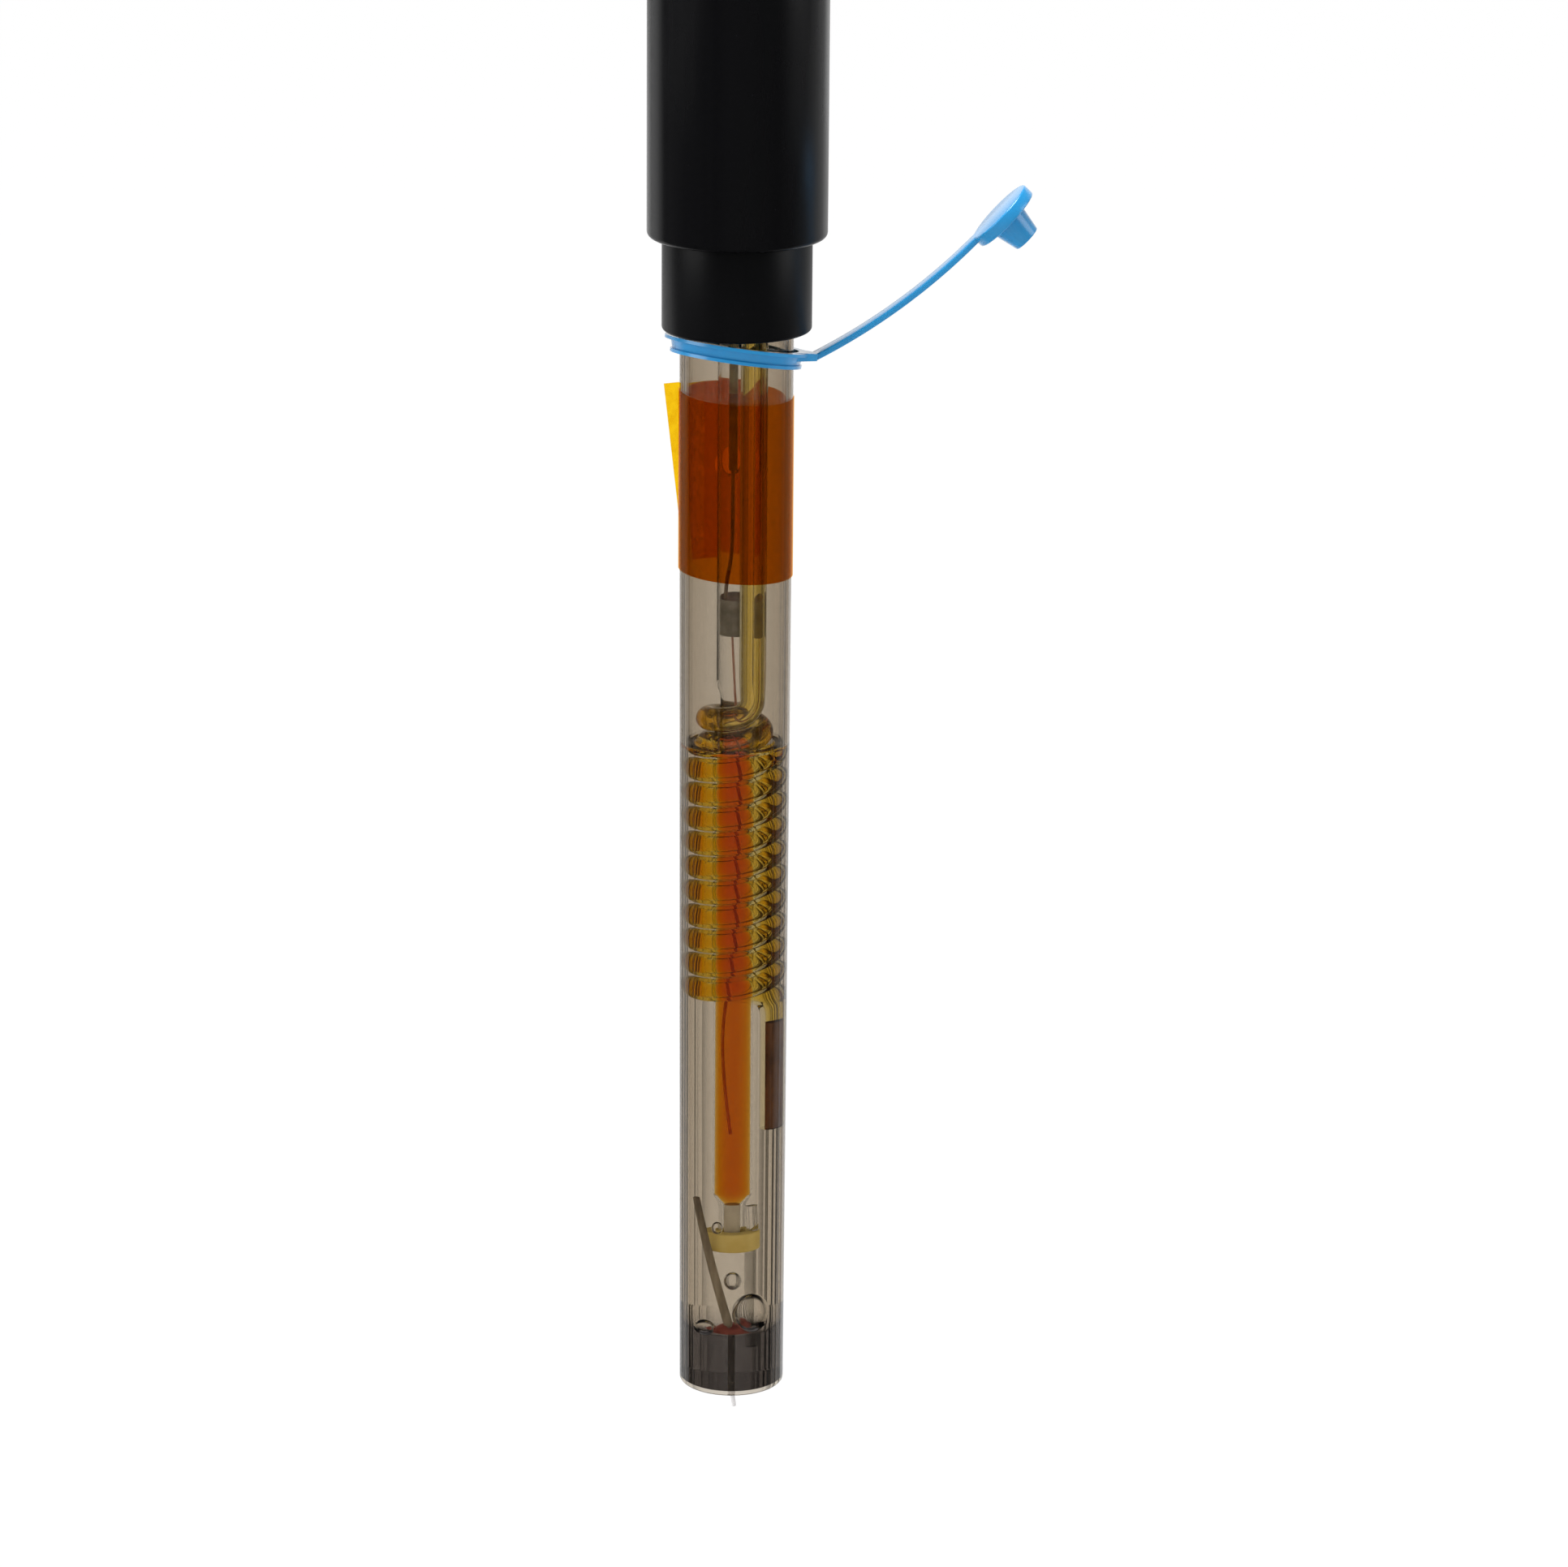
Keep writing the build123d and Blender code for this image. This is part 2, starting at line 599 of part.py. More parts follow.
def make_tip_bead():
    """Low red-brown bead of sealant where the wick enters the plug."""
    r = TIP_BEAD_D / 2
    outline = Plane.XZ * (
        Polyline((r, plug_head_z), (0, plug_head_z), (0, plug_head_z + TIP_BEAD_HEIGHT))
        + ThreePointArc(
            (0, plug_head_z + TIP_BEAD_HEIGHT),
            (0.7 * r, plug_head_z + 0.68 * TIP_BEAD_HEIGHT),
            (r, plug_head_z),
        )
    )
    bead = revolve(make_face(outline), Axis.Z)
    return bead - make_wick() - make_support_rod()


def make_tip_plug():
    """Dark plug cast in the tip. It creeps up the wall, and is flat under the bead."""
    low_r = body_radius(plug_foot_z) - BODY_WALL
    crest_z = plug_head_z + TIP_PLUG_MENISCUS
    crest_r = body_radius(crest_z) - BODY_WALL
    flat_r = TIP_BEAD_D / 2
    side = [(crest_r, crest_z), (low_r, plug_foot_z), (0, plug_foot_z)]
    outline = Plane.XZ * (
        Polyline(*side, (0, plug_head_z), (flat_r, plug_head_z))
        + ThreePointArc(
            (flat_r, plug_head_z),
            (flat_r + 0.72 * (crest_r - flat_r), plug_head_z + 0.3 * TIP_PLUG_MENISCUS),
            (crest_r, crest_z),
        )
    )
    plug = revolve(make_face(outline), Axis.Z)
    return plug - rod(WICK_D, tip_z, crest_z) - make_support_rod()


def make_tube_spacer():
    """Disc in the top of the body, with one keyhole for the stem and the riser."""
    high = SPACER_LIFT + SPACER_HEIGHT
    disc = rod(BODY_TOP_D - 2 * BODY_WALL - SPACER_FIT, SPACER_LIFT, high)
    distance = sqrt(riser_x**2 + riser_y**2)
    key = Rot(0, 0, degrees(atan2(riser_y, riser_x))) * Pos(distance / 2, 0, SPACER_LIFT) * Box(
        distance, SPACER_KEY_WIDTH, SPACER_HEIGHT, align=(Align.CENTER, Align.CENTER, Align.MIN)
    )
    disc -= rod(STEM_TOP_D, SPACER_LIFT, high)
    return disc - rod(RISER_D, SPACER_LIFT, high, riser_x, riser_y) - key


PIECES = {
    "cap_shell": make_cap_shell,
    "cable_grommet": make_cable_grommet,
    "cap_potting": make_cap_potting,
    "splice_sleeve": make_splice_sleeve,
    "collar": make_collar,
    "collar_seal": make_collar_seal,
    "body_tube": make_body_tube,
    "fill_hole_tape": make_fill_hole_tape,
    "refill_plug": make_refill_plug,
    "stem_tube": make_stem_tube,
    "stem_seal": make_stem_seal,
    "neck_plug": make_neck_plug,
    "lead_wire": make_lead_wire,
    "lead_sleeve": make_lead_sleeve,
    "platinum_wire": make_platinum_wire,
    "redox_solution": make_redox_solution,
    "coil_tube": make_coil_tube,
    "coil_solution": make_coil_solution,
    "coil_junction": make_coil_junction,
    "junction_ring": make_junction_ring,
    "bridge_capillary": make_bridge_capillary,
    "support_rod": make_support_rod,
    "wick": make_wick,
    "tip_bead": make_tip_bead,
    "tip_plug": make_tip_plug,
    "tube_spacer": make_tube_spacer,
}

os.makedirs("parts", exist_ok=True)
for name, make in PIECES.items():
    export_step(make(), f"parts/{name}.step")
    print(name)
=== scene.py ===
# %% [markdown]
# A clear reference electrode, hanging upright
# This lesson dresses a slim laboratory electrode. Its construction comes ready made, as a
# fixed frame of solids at real size, and stays as it is. What is left is how it looks: a
# smoke-tinted plastic body with glass tubes and coloured liquids inside it.
# Everything is in metres. The origin is the middle of the collar's underside, and +Z runs
# up through the cap.

# %% Load the frame
from math import atan2, cos, pi, radians, sin, sqrt

import bmesh
import bpy
from mathutils import Matrix, Vector
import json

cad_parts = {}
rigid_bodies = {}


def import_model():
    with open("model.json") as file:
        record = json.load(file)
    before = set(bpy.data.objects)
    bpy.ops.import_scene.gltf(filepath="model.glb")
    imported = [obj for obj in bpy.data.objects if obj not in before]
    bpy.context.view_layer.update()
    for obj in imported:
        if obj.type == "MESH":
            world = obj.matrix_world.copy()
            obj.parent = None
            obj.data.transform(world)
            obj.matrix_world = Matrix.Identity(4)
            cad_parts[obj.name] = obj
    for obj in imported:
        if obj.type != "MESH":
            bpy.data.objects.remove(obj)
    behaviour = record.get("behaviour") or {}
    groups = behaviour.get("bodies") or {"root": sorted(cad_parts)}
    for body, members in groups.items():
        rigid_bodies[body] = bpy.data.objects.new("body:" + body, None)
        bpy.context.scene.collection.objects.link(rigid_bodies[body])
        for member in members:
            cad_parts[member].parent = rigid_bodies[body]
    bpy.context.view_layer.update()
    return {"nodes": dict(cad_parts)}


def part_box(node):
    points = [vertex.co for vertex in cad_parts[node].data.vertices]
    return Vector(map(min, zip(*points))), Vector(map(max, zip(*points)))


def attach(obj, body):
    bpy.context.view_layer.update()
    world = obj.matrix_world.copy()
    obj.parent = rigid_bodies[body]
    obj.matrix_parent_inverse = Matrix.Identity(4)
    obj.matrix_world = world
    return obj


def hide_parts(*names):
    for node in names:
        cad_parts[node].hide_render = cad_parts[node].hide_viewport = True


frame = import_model()
MM = 0.001
print("nodes in the frame:", len(frame["nodes"]))

# %% [markdown]
# Sizes that the scene needs
# Clear pieces are rebuilt here, because light that passes through them shows every flat
# facet. Where a size can be read from the frame it is, and the rest are named here in
# millimetres and turned into metres by one function.

# %% Name the sizes
ROUND_STEPS = 160

BODY_TIP_R = 5.8
BODY_WALL = 0.75
HOLE_R = 1.65
HOLE_DROP = 15.9
HOLE_AZIMUTH = 99.0
STEM_TOP_R = 1.98
STEM_R = 1.55
NECK_R = 1.05
STEM_WALL = 0.22
DRAWN_WALL = 0.12
NECK_WALL = 0.4
STEM_SHOULDER = 1.2
NECK_FOOT_Z = -103.8
NECK_TOP_Z = -98.5
COIL_R = 2.9
COIL_TUBE_R = 1.3
COIL_BORE_R = 0.8
COIL_PITCH = 2.78
COIL_TURNS = 11 + 237 / 360
COIL_START = 33.0
COIL_FOOT_Z = -74.6
COIL_BEND_R = 2.2
RISER_R = 1.4
RISER_TAPER = 2.5
RISER_TOP_Z = 12.0
LIQUID_Z = -45.7
PLUG_HEAD_Z = -113.6
PLUG_CREEP = 1.7
FILM = 0.03
SLIP = 0.01


def mm(*values):
    """Millimetres to metres, for one number or a point."""
    return values[0] * MM if len(values) == 1 else Vector(values) * MM


def heights(node):
    """Height of a node's lowest and highest point, in millimetres."""
    low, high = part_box(node)
    return low.z / MM, high.z / MM


body_low, body_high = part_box("body_tube")
body_top_r = body_high.x / MM
tip_z = body_low.z / MM


def body_r(z):
    """Outer radius of the drafted body at a height, in millimetres."""
    return body_top_r + (body_top_r - BODY_TIP_R) * min(z, 0) / -tip_z


def bore_r(z):
    """Radius of the body's bore at a height, in millimetres."""
    return body_r(z) - BODY_WALL


print("body:", round(2 * body_top_r, 2), "mm at the top,", 2 * BODY_TIP_R, "mm at the tip")

# %% [markdown]
# The camera
# The picture was taken a little from above with a long lens. The lens, the distance and
# the tilt come from the sizes of the collar, the body and the ellipses that their ends
# make. The small roll follows the lean of the electrode in the picture.

# %% Place the camera
PHOTO_LENS = 136.0
SENSOR = 36.0
CAMERA_PLACE = (5.4, -617.0, 134.65)
CAMERA_PITCH = 16.7
CAMERA_ROLL = 0.45

camera_data = bpy.data.cameras.new("camera")
camera_data.lens = PHOTO_LENS
camera_data.sensor_width = SENSOR
camera_data.clip_start = 0.01
camera = bpy.data.objects.new("camera", camera_data)
bpy.context.scene.collection.objects.link(camera)
pitch = Matrix.Rotation(radians(90 - CAMERA_PITCH), 3, "X")
roll = Matrix.Rotation(radians(CAMERA_ROLL), 3, "Z")
camera.location = mm(*CAMERA_PLACE)
camera.rotation_euler = (pitch @ roll).to_euler()
bpy.context.scene.camera = camera
bpy.context.scene.view_settings.view_transform = "Standard"

# %% [markdown]
# Shader arithmetic
# A mask such as "below the liquid's surface and on the inner wall" is a short sum. Each
# socket is wrapped, so that the sum can be written as plain Python and adds its own
# nodes. Any other node comes from one method.

# %% Wrap sockets
WHITE = (1.0, 1.0, 1.0)
BACKFACING = 6  # the place of that socket on the Geometry node


class Wire:
    """One output socket that takes part in Python arithmetic."""

    def __init__(self, board, socket):
        self.board = board
        self.socket = socket

    def maths(self, operation, *others):
        return self.board.node("ShaderNodeMath", {"operation": operation}, [self, *others])

    def __add__(self, other):
        return self.maths("ADD", other)

    __radd__ = __add__

    def __mul__(self, other):
        return self.maths("MULTIPLY", other)

    __rmul__ = __mul__

    def __sub__(self, other):
        return self.maths("SUBTRACT", other)

    def __rsub__(self, other):
        return self.board.node("ShaderNodeMath", {"operation": "SUBTRACT"}, [other, self])

    def __truediv__(self, other):
        return self.maths("DIVIDE", other)

    def __gt__(self, other):
        return self.maths("GREATER_THAN", other)

    def __lt__(self, other):
        return self.maths("LESS_THAN", other)

    def root(self):
        return self.maths("SQRT")

    def size(self):
        return self.maths("ABSOLUTE")

    def eased(self, low, high):
        """0 below low, 1 above high, and smooth between them."""
        settings = {"interpolation_type": "SMOOTHSTEP"}
        return self.board.node("ShaderNodeMapRange", settings, [self, low, high, 0.0, 1.0])


class Board:
    """The node tree of one material or of the world."""

    def __init__(self, tree):
        self.tree = tree
        self.tree.nodes.clear()

    def feed(self, socket, value):
        if isinstance(value, Wire):
            self.tree.links.new(value.socket, socket)
        elif socket.type == "RGBA" and len(value) == 3:
            socket.default_value = (*value, 1.0)
        else:
            socket.default_value = value

    def node(self, kind, settings=None, values=(), output=0):
        """Adds a node. Values are a list in the order of its sockets, or named in a dictionary."""
        node = self.tree.nodes.new(kind)
        for key, value in (settings or {}).items():
            setattr(node, key, value)
        pairs = values.items() if isinstance(values, dict) else enumerate(values)
        for key, value in pairs:
            self.feed(node.inputs[key], value)
        return Wire(self, node.outputs[output])

    def place(self):
        """Object coordinates, as x, y and z in metres."""
        coordinates = self.node("ShaderNodeTexCoord", output=3)
        return coordinates, *self.split(coordinates)

    def split(self, vector):
        node = self.tree.nodes.new("ShaderNodeSeparateXYZ")
        self.tree.links.new(vector.socket, node.inputs[0])
        return [Wire(self, output) for output in node.outputs]

    def noise(self, vector, scale, detail=2.0, stretch=(1, 1, 1)):
        """Smooth noise from 0 to 1 on a stretched copy of the coordinates."""
        mapped = self.node("ShaderNodeMapping", None, {"Vector": vector, "Scale": stretch})
        return self.node("ShaderNodeTexNoise", None, {"Vector": mapped, "Scale": scale, "Detail": detail})

    def rays(self):
        """Which ray is looking, under the names of the Light Path node's sockets."""
        path = self.node("ShaderNodeLightPath").socket.node
        return {output.name: Wire(self, output) for output in path.outputs}

    def unbent(self, colour=WHITE):
        """Lets light straight on, and can colour it."""
        return self.node("ShaderNodeBsdfTransparent", None, [colour])

    def blend(self, factor, first, second):
        """Mix of two shaders."""
        return self.node("ShaderNodeMixShader", None, [factor, first, second])

    def tint(self, factor, first, second):
        """Mix of two colours."""
        values = {0: factor, 6: first, 7: second}
        return self.node("ShaderNodeMix", {"data_type": "RGBA"}, values, output=2)

    def bump(self, height, distance, strength=1.0):
        values = {"Strength": strength, "Distance": distance, "Height": height}
        return self.node("ShaderNodeBump", None, values)

    def surface(self, **sockets):
        """Principled surface. Socket names are written with underscores."""
        values = {key.replace("_", " "): value for key, value in sockets.items()}
        return self.node("ShaderNodeBsdfPrincipled", None, values)

    def finish(self, surface, volume=None):
        out = self.tree.nodes.new("ShaderNodeOutputMaterial")
        self.tree.links.new(surface.socket, out.inputs["Surface"])
        if volume:
            self.tree.links.new(volume.socket, out.inputs["Volume"])


def new_material(name):
    """A material with an empty board."""
    material = bpy.data.materials.new(name)
    material.use_nodes = True
    return material, Board(material.node_tree)


def srgb(red, green, blue):
    """A colour as a screen shows it, from 0 to 255, as the linear one that shaders use."""
    shares = [value / 255 for value in (red, green, blue)]
    return tuple(s / 12.92 if s <= 0.04045 else ((s + 0.055) / 1.055) ** 2.4 for s in shares)


# %% [markdown]
# Light
# The electrode hangs in front of a bright screen. Directly seen, the surroundings are
# plain white. Glass has to bend something to be seen, so rays that passed through it see a
# studio: bright screens in front and behind, dimmer sides with fine upright gaps, and a dim
# ceiling and floor. A mirrored ray sees the same studio, darker in front. Lamps don't reach
# through glass that bends light, so a ray that has left a matt solid and then passes glass
# meets a brighter level, or the solids inside would be too dark. The world isn't sampled as
# a lamp, because its plain level lights a matt surface evenly without that. The lamp above
# gives the pale tops of the blue moulding.

# %% Make the world and the lamps
AMBIENT = 0.5
SIDE_LEVEL = 0.42
DARK_LEVEL = 0.1
SCREEN_EDGES = (0.25, 0.8)
SCREEN_MIDDLES = (0.9, 0.985)
GAP_DEPTH = 0.9
GAP_SCALE = 13.0
GAP_EDGES = (0.48, 0.56)
DIM_HEIGHTS = (0.45, 0.85)
MIRROR_FRONT = 0.1
MIRROR_TURN = (-0.4, 0.6)
INNER_LEVEL = 1.5

world = bpy.data.worlds.new("studio")
world.use_nodes = True
bpy.context.scene.world = world
world.cycles.sampling_method = "NONE"
sky = Board(world.node_tree)
toward = sky.node("ShaderNodeTexCoord", output=0)
east, north, up = sky.split(toward)
flat_reach = (east * east + north * north).root() + 0.0001
ahead = north / flat_reach
aside = east / flat_reach
screens = ahead.size().eased(*SCREEN_EDGES)
round_compass = sky.node("ShaderNodeCombineXYZ", None, [aside, ahead, 0.0])
beside_screens = 1 - ahead.size().eased(*SCREEN_MIDDLES)
gaps = sky.noise(round_compass, GAP_SCALE, 3.0).eased(*GAP_EDGES) * beside_screens
height_band = (up + 0.2).size().eased(*DIM_HEIGHTS)
around = (SIDE_LEVEL + (1 - SIDE_LEVEL) * screens) * (1 - GAP_DEPTH * gaps)
studio = around * (1 - height_band) + DARK_LEVEL * height_band
mirror_side = ahead.eased(*MIRROR_TURN)
mirrored = studio * (MIRROR_FRONT + (1 - MIRROR_FRONT) * mirror_side)
ray = sky.rays()
is_camera, is_glossy, is_through = (ray[f"Is {kind} Ray"] for kind in ("Camera", "Glossy", "Transmission"))
after_matt = ray["Diffuse Depth"] > 0.5
beyond_glass = after_matt * INNER_LEVEL + (1 - after_matt) * studio
in_air = is_glossy * mirrored + (1 - is_glossy) * AMBIENT
indirect = is_through * beyond_glass + (1 - is_through) * in_air
strength = is_camera + (1 - is_camera) * indirect
background = sky.node("ShaderNodeBackground", None, [WHITE, strength])
world_out = sky.tree.nodes.new("ShaderNodeOutputWorld")
sky.tree.links.new(background.socket, world_out.inputs["Surface"])


LAMP_TARGET = Vector((0, 0, -0.03))


def soft_lamp(name, place, size, watts):
    """Square area lamp at a place, turned to the electrode, that glass doesn't show."""
    data = bpy.data.lights.new(name, "AREA")
    data.energy = watts
    data.size = size
    lamp = bpy.data.objects.new(name, data)
    bpy.context.scene.collection.objects.link(lamp)
    lamp.location = place
    lamp.rotation_euler = (LAMP_TARGET - Vector(place)).to_track_quat("-Z", "Y").to_euler()
    lamp.visible_transmission = False


soft_lamp("top_lamp", (-0.15, -0.05, 0.7), 0.5, 9.0)
soft_lamp("left_lamp", (-0.7, -0.25, 0.25), 0.5, 2.0)
soft_lamp("right_lamp", (0.7, -0.1, 0.15), 0.4, 1.0)

# %% [markdown]
# The floor
# A pale floor lies below the hanging tip. A ray from the camera sees it white with a
# faint shadow, glass sees the studio through it, and from below it isn't in the way. Its
# glow is for the camera alone and lights nothing, so it isn't sampled as a lamp.

# %% Make the floor
FLOOR_Z = -190.0
FLOOR_HALF = 4.0
FLOOR_GREY = (0.85, 0.85, 0.85)
FLOOR_GLOW = 1.02
GLOW_SHARE = 0.96


def loose(bm, name):
    """A bmesh on a bare object: the floor, the start of a piece, or a tool for a Boolean."""
    mesh = bpy.data.meshes.new(name)
    bm.to_mesh(mesh)
    bm.free()
    bare = bpy.data.objects.new(name, mesh)
    bpy.context.scene.collection.objects.link(bare)
    return bare


floor_bm = bmesh.new()
bmesh.ops.create_grid(floor_bm, x_segments=1, y_segments=1, size=FLOOR_HALF)
bmesh.ops.translate(floor_bm, verts=floor_bm.verts, vec=mm(0, 0, FLOOR_Z))
floor = loose(floor_bm, "floor")
floor_material, board = new_material("pale_floor")
ray = board.rays()
below = board.node("ShaderNodeNewGeometry", output=BACKFACING)
matt = board.node("ShaderNodeBsdfDiffuse", None, [FLOOR_GREY])
glow = board.node("ShaderNodeEmission", None, [WHITE, FLOOR_GLOW])
lit = board.blend(ray["Is Camera Ray"] * GLOW_SHARE, matt, glow)
unseen = (ray["Is Transmission Ray"] + ray["Is Glossy Ray"] + below) > 0.5
board.finish(board.blend(unseen, lit, board.unbent()))
floor_material.cycles.emission_sampling = "NONE"
floor.data.materials.append(floor_material)

cycles = bpy.context.scene.cycles
cycles.max_bounces = 40
cycles.transmission_bounces = 40
cycles.transparent_max_bounces = 40
cycles.glossy_bounces = 8
cycles.diffuse_bounces = 3

# %% [markdown]
# Making pieces
# Nearly everything on an electrode is turned or drawn, so two ways make most pieces. An
# outline in the X-Z plane is spun about the axis. A line of points gets a round skin,
# with a second skin for the bore where the piece is a tube.

# %% Helpers for pieces
CREASE = 32
MERGE = 0.0005
FOUND_WITHIN = 0.02


def piece_from(bm, name, material, node=None, body="root"):
    """Puts a bmesh on a new object that rides on a body and stands for a node of the frame."""
    piece = loose(bm, name)
    mesh = piece.data
    for face in mesh.polygons:
        face.use_smooth = True
    mesh.set_sharp_from_angle(angle=radians(CREASE))
    mesh.materials.append(material)
    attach(piece, body)
    if node:
        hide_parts(node)
    print(name, "faces:", len(mesh.polygons))
    return piece


def cleaned(bm, reach=MERGE):
    """Merges doubled points and turns every face outwards."""
    bmesh.ops.remove_doubles(bm, verts=bm.verts, dist=mm(reach))
    bmesh.ops.recalc_face_normals(bm, faces=bm.faces)
    return bm


def spun(outline, closed=True, steps=ROUND_STEPS):
    """Spins an outline of radii and heights in millimetres once round the axis."""
    bm = bmesh.new()
    corners = [bm.verts.new(mm(r, 0, z)) for r, z in outline]
    ends = corners[1:] + corners[:1] if closed else corners[1:]
    edges = [bm.edges.new(pair) for pair in zip(corners, ends)]
    bmesh.ops.spin(
        bm, geom=corners + edges, cent=(0, 0, 0), axis=(0, 0, 1),
        angle=2 * pi, steps=steps, use_merge=True,
    )
    return cleaned(bm)


def round_ring(bm, radius, height, offset, segments=5):
    """Rounds the circular edges that lie at a radius and a height, in millimetres."""
    def lies_there(vert):
        off_radius = abs(sqrt(vert.co.x**2 + vert.co.y**2) - mm(radius))
        return max(off_radius, abs(vert.co.z - mm(height))) < mm(FOUND_WITHIN)

    edges = [e for e in bm.edges if all(lies_there(v) for v in e.verts)]
    bmesh.ops.bevel(
        bm, geom=edges, offset=mm(offset), segments=segments, profile=0.5,
        affect="EDGES", material=-1,
    )


def skin(line, radius, smooth=False, capped=False, widths=None, around=10):
    """Round skin along points in millimetres. Smooth lines are drawn as NURBS."""
    curve = bpy.data.curves.new("line", "CURVE")
    curve.dimensions = "3D"
    curve.bevel_depth = mm(radius)
    curve.bevel_resolution = around
    curve.use_fill_caps = capped
    curve.resolution_u = 10
    spline = curve.splines.new("NURBS" if smooth else "POLY")
    spline.points.add(len(line) - 1)
    for index, (point, place) in enumerate(zip(spline.points, line)):
        point.co = (*mm(*place), 1.0)
        point.radius = widths[index] if widths else 1.0
    if smooth:
        spline.order_u = 4
        spline.use_endpoint_u = True
    holder = bpy.data.objects.new("line", curve)
    mesh = bpy.data.meshes.new_from_object(holder)
    bm = bmesh.new()
    bm.from_mesh(mesh)
    bpy.data.objects.remove(holder)
    bpy.data.meshes.remove(mesh)
    return cleaned(bm)


def joined(*parts):
    """One bmesh that holds several."""
    whole = bmesh.new()
    for part in parts:
        mesh = bpy.data.meshes.new("part")
        part.to_mesh(mesh)
        part.free()
        whole.from_mesh(mesh)
        bpy.data.meshes.remove(mesh)
    return whole


def hollow(line, outer, bore, smooth=False, widths=None, around=10):
    """Tube along a line: two skins, joined by a ring at each end."""
    tube = joined(
        skin(line, outer, smooth, False, widths, around),
        skin(line, bore, smooth, False, None, around),
    )
    rims = [e for e in tube.edges if e.is_boundary]
    first, last = Vector(line[0]) * MM, Vector(line[-1]) * MM
    for near, far in ((first, last), (last, first)):
        ring = [e for e in rims if (e.verts[0].co - near).length < (e.verts[0].co - far).length]
        bmesh.ops.bridge_loops(tube, edges=ring)
    bmesh.ops.recalc_face_normals(tube, faces=tube.faces)
    return tube


# %% [markdown]
# Clear materials
# Where two clear things touch, light bends by the ratio of their indices: plastic to air
# bends a lot, plastic to salt solution only a little, and plastic to the resin cast in it
# not at all. So the same wall has up to three ways to bend light, and a mask by height and
# radius says which. Its colour is a volume, so that it darkens where light runs a long way
# through the wall, as at the edges.

# %% Make the clear materials
PLASTIC_INDEX = 1.5
GLASS_INDEX = 1.47
LIQUID_INDEX = 1.36


def lens(board, index, normal=None):
    """Clear surface with an index of refraction."""
    sockets = dict(Base_Color=WHITE, Roughness=0.0, IOR=index, Transmission_Weight=1.0)
    if normal:
        sockets["Normal"] = normal
    return board.surface(**sockets)


def absorbing(board, per_metre):
    """Volume that takes out the given amount of red, green and blue on each metre."""
    density = max(per_metre) * 1.02
    colour = tuple(1 - share / density for share in per_metre)
    return board.node("ShaderNodeVolumeAbsorption", None, [colour, density])


def make_smoke_plastic():
    """Body: smoke tint, faint upright draw lines and a few fine scratches."""
    material, board = new_material("smoke_plastic")
    coordinates, x, y, z = board.place()
    radius = (x * x + y * y).root()
    wall_middle = mm(body_top_r - BODY_WALL / 2) + z * ((body_top_r - BODY_TIP_R) / -tip_z)
    inner = radius < wall_middle
    wet = inner * (z < mm(LIQUID_Z))
    bonded = inner * (z < mm(PLUG_HEAD_Z + PLUG_CREEP))
    lines = board.noise(coordinates, 1500.0, 2.0, (1, 1, 0.004))
    marks = board.noise(coordinates, 420.0, 4.0, (1, 1, 0.35)).eased(0.62, 0.72)
    relief = board.bump(lines * 0.7 + marks * 0.25, mm(0.004), 0.5)
    dry_face = lens(board, PLASTIC_INDEX, relief)
    wet_face = lens(board, PLASTIC_INDEX / LIQUID_INDEX, relief)
    face = board.blend(bonded, board.blend(wet, dry_face, wet_face), board.unbent())
    board.finish(face, absorbing(board, (600, 725, 920)))
    return material


def make_drawn_glass(name, filled_below, filled_radius, per_metre):
    """Thin glass whose outside is dry or wet, and whose bore is filled up to a height."""
    material, board = new_material(name)
    coordinates, x, y, z = board.place()
    wet = z < mm(LIQUID_Z)
    if filled_radius:
        in_bore = (x * x + y * y).root() < mm(filled_radius)
        wet = wet * (1 - in_bore) + in_bore * (z < mm(filled_below))
    waves = board.noise(coordinates, 260.0, 2.0, (1, 1, 0.25))
    relief = board.bump(waves, mm(0.03), 0.35)
    dry_face = lens(board, GLASS_INDEX, relief)
    wet_face = lens(board, GLASS_INDEX / LIQUID_INDEX, relief)
    board.finish(board.blend(wet, dry_face, wet_face), absorbing(board, per_metre))
    return material


def make_liquid(name, per_metre):
    """Coloured liquid in a bore. The bore's wall does the bending, so this only colours."""
    material, board = new_material(name)
    board.finish(board.unbent(), absorbing(board, per_metre))
    return material


smoke_plastic = make_smoke_plastic()
orange_top_z = heights("redox_solution")[1]
stem_glass = make_drawn_glass("stem_glass", orange_top_z, STEM_TOP_R - STEM_WALL / 2, (25, 22, 28))
coil_glass = make_drawn_glass("coil_glass", 0, 0, (14, 36, 190))
orange_liquid = make_liquid("orange_liquid", (100, 620, 2300))
amber_liquid = make_liquid("amber_liquid", (12, 150, 950))

# %% [markdown]
# The body tube
# The real one is moulded with a slight draft and has a drilled refill hole. Its outline is
# spun, the rim at the tip is rounded, and the hole is cut with a Boolean, because a hole
# through a round wall has an edge that no spin can give.

# %% Make the body tube
BODY_STEPS = 192
socket_top = body_high.z / MM
body_bm = spun(
    [
        (bore_r(tip_z), tip_z),
        (BODY_TIP_R, tip_z),
        (body_top_r, 0),
        (body_top_r, socket_top),
        (body_top_r - BODY_WALL, socket_top),
        (body_top_r - BODY_WALL, 0),
    ],
    steps=BODY_STEPS,
)
round_ring(body_bm, BODY_TIP_R, tip_z, 0.5)
clear_body = piece_from(body_bm, "clear_body", smoke_plastic, "body_tube")

